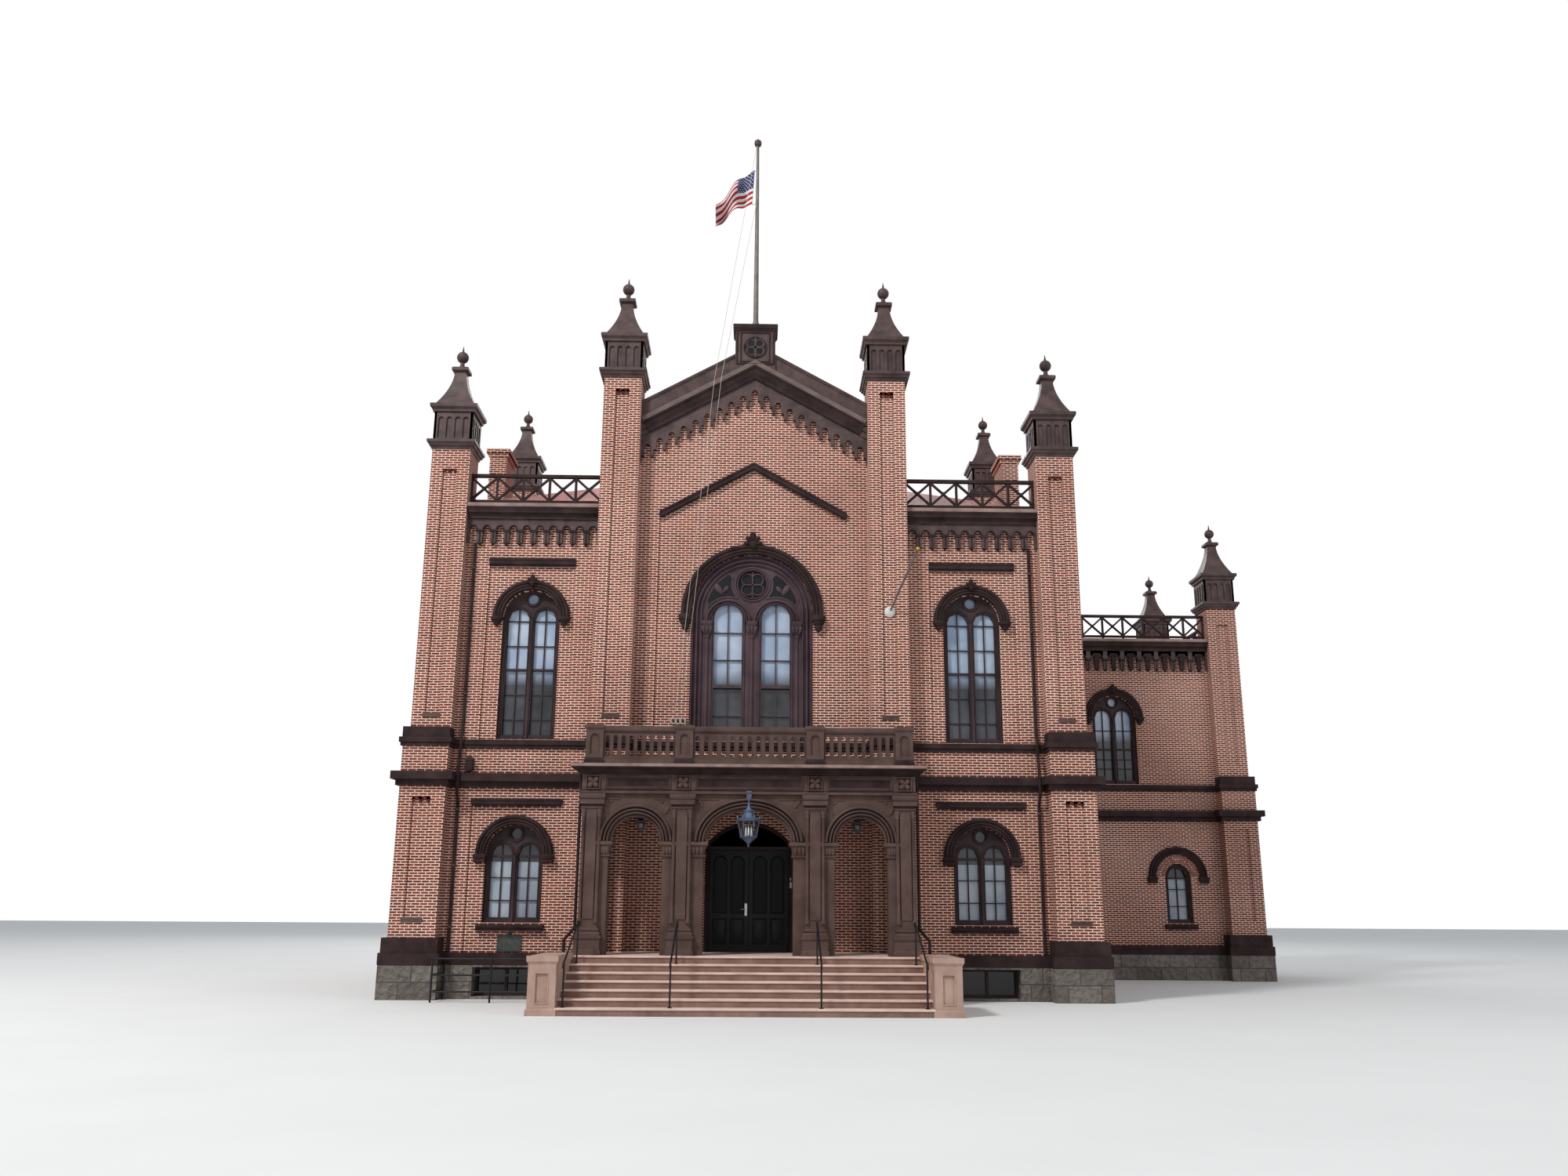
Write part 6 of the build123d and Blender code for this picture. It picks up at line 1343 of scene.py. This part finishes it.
def build_fittings():
    """Plaque, bell box, brick arch ring of the wing's lower window and the collars of the rain pipes."""
    x, y = -LOWER_X, 0.03
    board = tablet(x, 1.3225, ((0.305, 0.2025, y + 0.03), (0.305, 0.2025, y - 0.01), (0.28, 0.18, y - 0.014),
                               (0.28, 0.18, y - 0.004)))
    make("plaque", merged(board, crest(x, y - 0.005, 1.5, 0.12)), "bronze")
    bell = [(5.58, 0.05), (5.64, 0.09), (5.86, 0.085), (5.87, 0.1), (5.9, 0.1), (5.97, 0.05), (6.01, 0.02)]
    make("wall_bell", block(bell, -7.24, -0.09), "brownstone")
    count = 21
    step = math.pi / count
    bricks = []
    for r0, r1 in ((0.45, 0.58), (0.6, 0.73)):
        for a in step * (np.arange(count) + 0.5):
            reach, turn = np.array([r0, r1, r1, r0]), a + step * np.array([-0.4, -0.4, 0.4, 0.4])
            outline = np.stack([14.44 + reach * np.cos(turn), 3.34 + reach * np.sin(turn)], axis=-1)
            bricks.append(slab(upright(outline, 0.0), 10.595, 10.61))
    make("arch_bricks", merged(*bricks), "arch_brick")
    collar = lathe([(0.0, 0.058), (0.05, 0.06), (0.055, 0.045)], 12)
    spots = [(x, -0.065, z) for x in (-7.485, 7.485) for z in (1.7, 3.2, 4.6, 7.6, 9.4, 11.0)]
    make("pipe_collars", copies(collar, spots), "dark_metal")


# Stage

# Lamps: name, place, share of the key's power, size
LAMPS = (("key", (-30, -36, 50), 1.0, 9.0), ("fill", (40, -30, 24), 0.12, 26.0),
         ("back", (0, 60, 40), 0.35, 26.0))
LAMP_AIM = (0, 8, 6)
CAMERA_PLACE = (0.22, -33.13, 2.18)


def camera_turn(pitch, yaw, roll):
    """World to view rotation of the fitted camera: yaw about z, then pitch about x, then roll about y."""
    turns = ((roll, "Y"), (pitch, "X"), (yaw, "Z"))
    one, two, three = [Matrix.Rotation(-math.radians(angle), 3, axis) for angle, axis in turns]
    return one @ two @ three


def build_sky(tree, strength):
    """Surroundings that light softly, and are white where the camera, a mirror or a pane looks at them."""
    tree.nodes.clear()
    path = tree.nodes.new("ShaderNodeLightPath")
    seen = path.outputs["Is Camera Ray"]
    for ray in ("Is Transmission Ray", "Is Glossy Ray"):
        either = tree.nodes.new("ShaderNodeMath")
        either.operation = "MAXIMUM"
        tree.links.new(seen, either.inputs[0])
        tree.links.new(path.outputs[ray], either.inputs[1])
        seen = either.outputs[0]
    mix = tree.nodes.new("ShaderNodeMixShader")
    tree.links.new(seen, mix.inputs[0])
    for index, colour, power in ((1, (0.86, 0.92, 1.0, 1.0), strength), (2, (1.0, 1.0, 1.0, 1.0), 1.0)):
        light = tree.nodes.new("ShaderNodeBackground")
        light.inputs["Color"].default_value = colour
        light.inputs["Strength"].default_value = power
        tree.links.new(light.outputs[0], mix.inputs[index])
    tree.links.new(mix.outputs[0], tree.nodes.new("ShaderNodeOutputWorld").inputs["Surface"])


def build_stage(settings):
    """Floor, white surroundings, soft lights and the camera."""
    reach = settings.floor_reach
    mesh = bpy.data.meshes.new("floor")
    mesh.from_pydata([(-reach, -reach, 0), (reach, -reach, 0), (reach, reach, 0), (-reach, reach, 0)], [],
                     [(0, 1, 2, 3)])
    ground = bpy.data.objects.new("floor", mesh)
    bpy.context.scene.collection.objects.link(ground)
    graph = Graph("floor_pale")
    graph.set(Base_Color=graph.mix(graph.noise(0.4), rgb(226, 225, 222), rgb(234, 233, 230)), Roughness=0.9)
    mesh.materials.append(graph.material)
    world = bpy.data.worlds.new("studio")
    bpy.context.scene.world = world
    world.use_nodes = True
    build_sky(world.node_tree, settings.sky_strength)
    for name, place, share, size in LAMPS:
        data = bpy.data.lights.new(name, "AREA")
        data.energy = settings.key_power * share
        data.size = size
        light = bpy.data.objects.new(name, data)
        light.location = place
        light.rotation_euler = (Vector(LAMP_AIM) - Vector(place)).to_track_quat("-Z", "Y").to_euler()
        bpy.context.scene.collection.objects.link(light)
    lens = bpy.data.cameras.new("camera")
    lens.sensor_width = 36.0
    lens.lens = settings.lens
    lens.clip_end = 500.0
    camera = bpy.data.objects.new("camera", lens)
    right, ahead, up = camera_turn(settings.pitch, settings.yaw, settings.roll)
    basis = Matrix((right, up, -ahead)).transposed()
    camera.matrix_world = Matrix.Translation(CAMERA_PLACE) @ basis.to_4x4()
    bpy.context.scene.collection.objects.link(camera)
    bpy.context.scene.camera = camera
    bpy.context.scene.view_settings.view_transform = "Standard"


# Add-on


class TownHallSettings(bpy.types.PropertyGroup):
    """Sizes and lights that may be changed before the pieces are built"""
    brick_length: bpy.props.FloatProperty(name="Brick length", description="One brick with its joint",
                                          default=0.215, unit="LENGTH")
    brick_course: bpy.props.FloatProperty(name="Brick course", description="Height of one course",
                                          default=0.0677, unit="LENGTH")
    joint_width: bpy.props.FloatProperty(name="Joint", description="Width of a mortar joint", default=0.026,
                                         unit="LENGTH")
    floor_reach: bpy.props.FloatProperty(name="Floor reach", description="Half width of the stage floor",
                                         default=160.0, unit="LENGTH")
    sky_strength: bpy.props.FloatProperty(name="Sky", description="Strength of the soft light from all round",
                                          default=0.5)
    key_power: bpy.props.FloatProperty(name="Key light", description="Power of the main lamp",
                                       default=26000.0, unit="POWER")
    lens: bpy.props.FloatProperty(name="Lens", description="Focal length of the camera", default=29.14,
                                  subtype="DISTANCE_CAMERA")
    pitch: bpy.props.FloatProperty(name="Pitch", description="Degrees that the camera looks up",
                                   default=14.23)
    yaw: bpy.props.FloatProperty(name="Yaw", description="Degrees that the camera looks aside", default=-1.09)
    roll: bpy.props.FloatProperty(name="Roll", description="Degrees that the camera leans", default=-0.36)


class TOWNHALL_OT_materials(bpy.types.Operator):
    """Makes every finish and puts it on the frame's nodes"""
    bl_idname = "townhall.materials"
    bl_label = "Finishes"

    def execute(self, context):
        make_materials(context.scene.town_hall)
        return {"FINISHED"}


class TOWNHALL_OT_spires(bpy.types.Operator):
    """Builds the spires over the turrets"""
    bl_idname = "townhall.spires"
    bl_label = "Spires"

    def execute(self, context):
        build_spires()
        return {"FINISHED"}


class TOWNHALL_OT_flagpole(bpy.types.Operator):
    """Builds the flagpole, its halyards and the wall staff"""
    bl_idname = "townhall.flagpole"
    bl_label = "Flagpole"

    def execute(self, context):
        build_flagpole()
        return {"FINISHED"}


class TOWNHALL_OT_windows(bpy.types.Operator):
    """Builds the hoods, sills and sashes of the windows"""
    bl_idname = "townhall.windows"
    bl_label = "Windows"

    def execute(self, context):
        build_windows()
        return {"FINISHED"}


class TOWNHALL_OT_great_window(bpy.types.Operator):
    """Builds the mouldings of the great window"""
    bl_idname = "townhall.great_window"
    bl_label = "Great window"

    def execute(self, context):
        build_great_window()
        return {"FINISHED"}


class TOWNHALL_OT_flag(bpy.types.Operator):
    """Builds the flag that droops from the pole"""
    bl_idname = "townhall.flag"
    bl_label = "Flag"

    def execute(self, context):
        build_flag()
        return {"FINISHED"}


class TOWNHALL_OT_roof_edge(bpy.types.Operator):
    """Builds the cornice faces, gutter strips and corbels"""
    bl_idname = "townhall.roof_edge"
    bl_label = "Roof edge"

    def execute(self, context):
        build_roof_edge()
        return {"FINISHED"}


class TOWNHALL_OT_railings(bpy.types.Operator):
    """Builds the crossed railings over the cornices"""
    bl_idname = "townhall.railings"
    bl_label = "Railings"

    def execute(self, context):
        build_railings()
        return {"FINISHED"}


class TOWNHALL_OT_panel_trims(bpy.types.Operator):
    """Builds the sills and heads of the turret panels"""
    bl_idname = "townhall.panel_trims"
    bl_label = "Panel trims"

    def execute(self, context):
        build_panel_trims()
        return {"FINISHED"}


class TOWNHALL_OT_gable(bpy.types.Operator):
    """Builds the raking cornice's faces and coping, the apex tracery and the label rolls"""
    bl_idname = "townhall.gable"
    bl_label = "Gable"

    def execute(self, context):
        build_gable()
        return {"FINISHED"}


class TOWNHALL_OT_portico(bpy.types.Operator):
    """Builds the arch rolls, imposts, pier mouldings, frieze and cornice"""
    bl_idname = "townhall.portico"
    bl_label = "Portico"

    def execute(self, context):
        build_portico()
        return {"FINISHED"}


class TOWNHALL_OT_parapet(bpy.types.Operator):
    """Builds the slotted parapet of the portico"""
    bl_idname = "townhall.parapet"
    bl_label = "Parapet"

    def execute(self, context):
        build_parapet()
        return {"FINISHED"}


class TOWNHALL_OT_steps(bpy.types.Operator):
    """Builds the treads, cheek mouldings and handrails"""
    bl_idname = "townhall.steps"
    bl_label = "Steps and rails"

    def execute(self, context):
        build_steps()
        return {"FINISHED"}


class TOWNHALL_OT_lanterns(bpy.types.Operator):
    """Builds the large and the small lanterns"""
    bl_idname = "townhall.lanterns"
    bl_label = "Lanterns"

    def execute(self, context):
        build_lanterns()
        return {"FINISHED"}


class TOWNHALL_OT_entrance(bpy.types.Operator):
    """Builds the door panels, the lever and the door frame's rolls"""
    bl_idname = "townhall.entrance"
    bl_label = "Entrance"

    def execute(self, context):
        build_entrance()
        return {"FINISHED"}


class TOWNHALL_OT_fittings(bpy.types.Operator):
    """Builds the plaque, bell box, brick arch ring and pipe collars"""
    bl_idname = "townhall.fittings"
    bl_label = "Fittings"

    def execute(self, context):
        build_fittings()
        return {"FINISHED"}


class TOWNHALL_OT_stage(bpy.types.Operator):
    """Builds the floor, lights and camera"""
    bl_idname = "townhall.stage"
    bl_label = "Stage"

    def execute(self, context):
        build_stage(context.scene.town_hall)
        return {"FINISHED"}


class TOWNHALL_PT_panel(bpy.types.Panel):
    """Sidebar panel of the town hall"""
    bl_idname = "TOWNHALL_PT_panel"
    bl_label = "Town hall"
    bl_space_type = "VIEW_3D"
    bl_region_type = "UI"
    bl_category = "Town hall"

    def draw(self, context):
        for name in TownHallSettings.__annotations__:
            self.layout.prop(context.scene.town_hall, name)
        for operator in OPERATORS:
            self.layout.operator(operator.bl_idname)


OPERATORS = (TOWNHALL_OT_stage, TOWNHALL_OT_materials, TOWNHALL_OT_spires, TOWNHALL_OT_flagpole,
             TOWNHALL_OT_flag, TOWNHALL_OT_windows, TOWNHALL_OT_great_window, TOWNHALL_OT_roof_edge,
             TOWNHALL_OT_railings, TOWNHALL_OT_panel_trims, TOWNHALL_OT_gable, TOWNHALL_OT_portico,
             TOWNHALL_OT_parapet, TOWNHALL_OT_steps, TOWNHALL_OT_lanterns, TOWNHALL_OT_entrance,
             TOWNHALL_OT_fittings)
CLASSES = (TownHallSettings, *OPERATORS, TOWNHALL_PT_panel)


def register():
    for item in CLASSES:
        bpy.utils.register_class(item)
    bpy.types.Scene.town_hall = bpy.props.PointerProperty(type=TownHallSettings)


def unregister():
    del bpy.types.Scene.town_hall
    for item in reversed(CLASSES):
        bpy.utils.unregister_class(item)


def main():
    register()
    for operator in OPERATORS:
        group, name = operator.bl_idname.split(".")
        getattr(getattr(bpy.ops, group), name)()


if __name__ == "__main__":
    main()
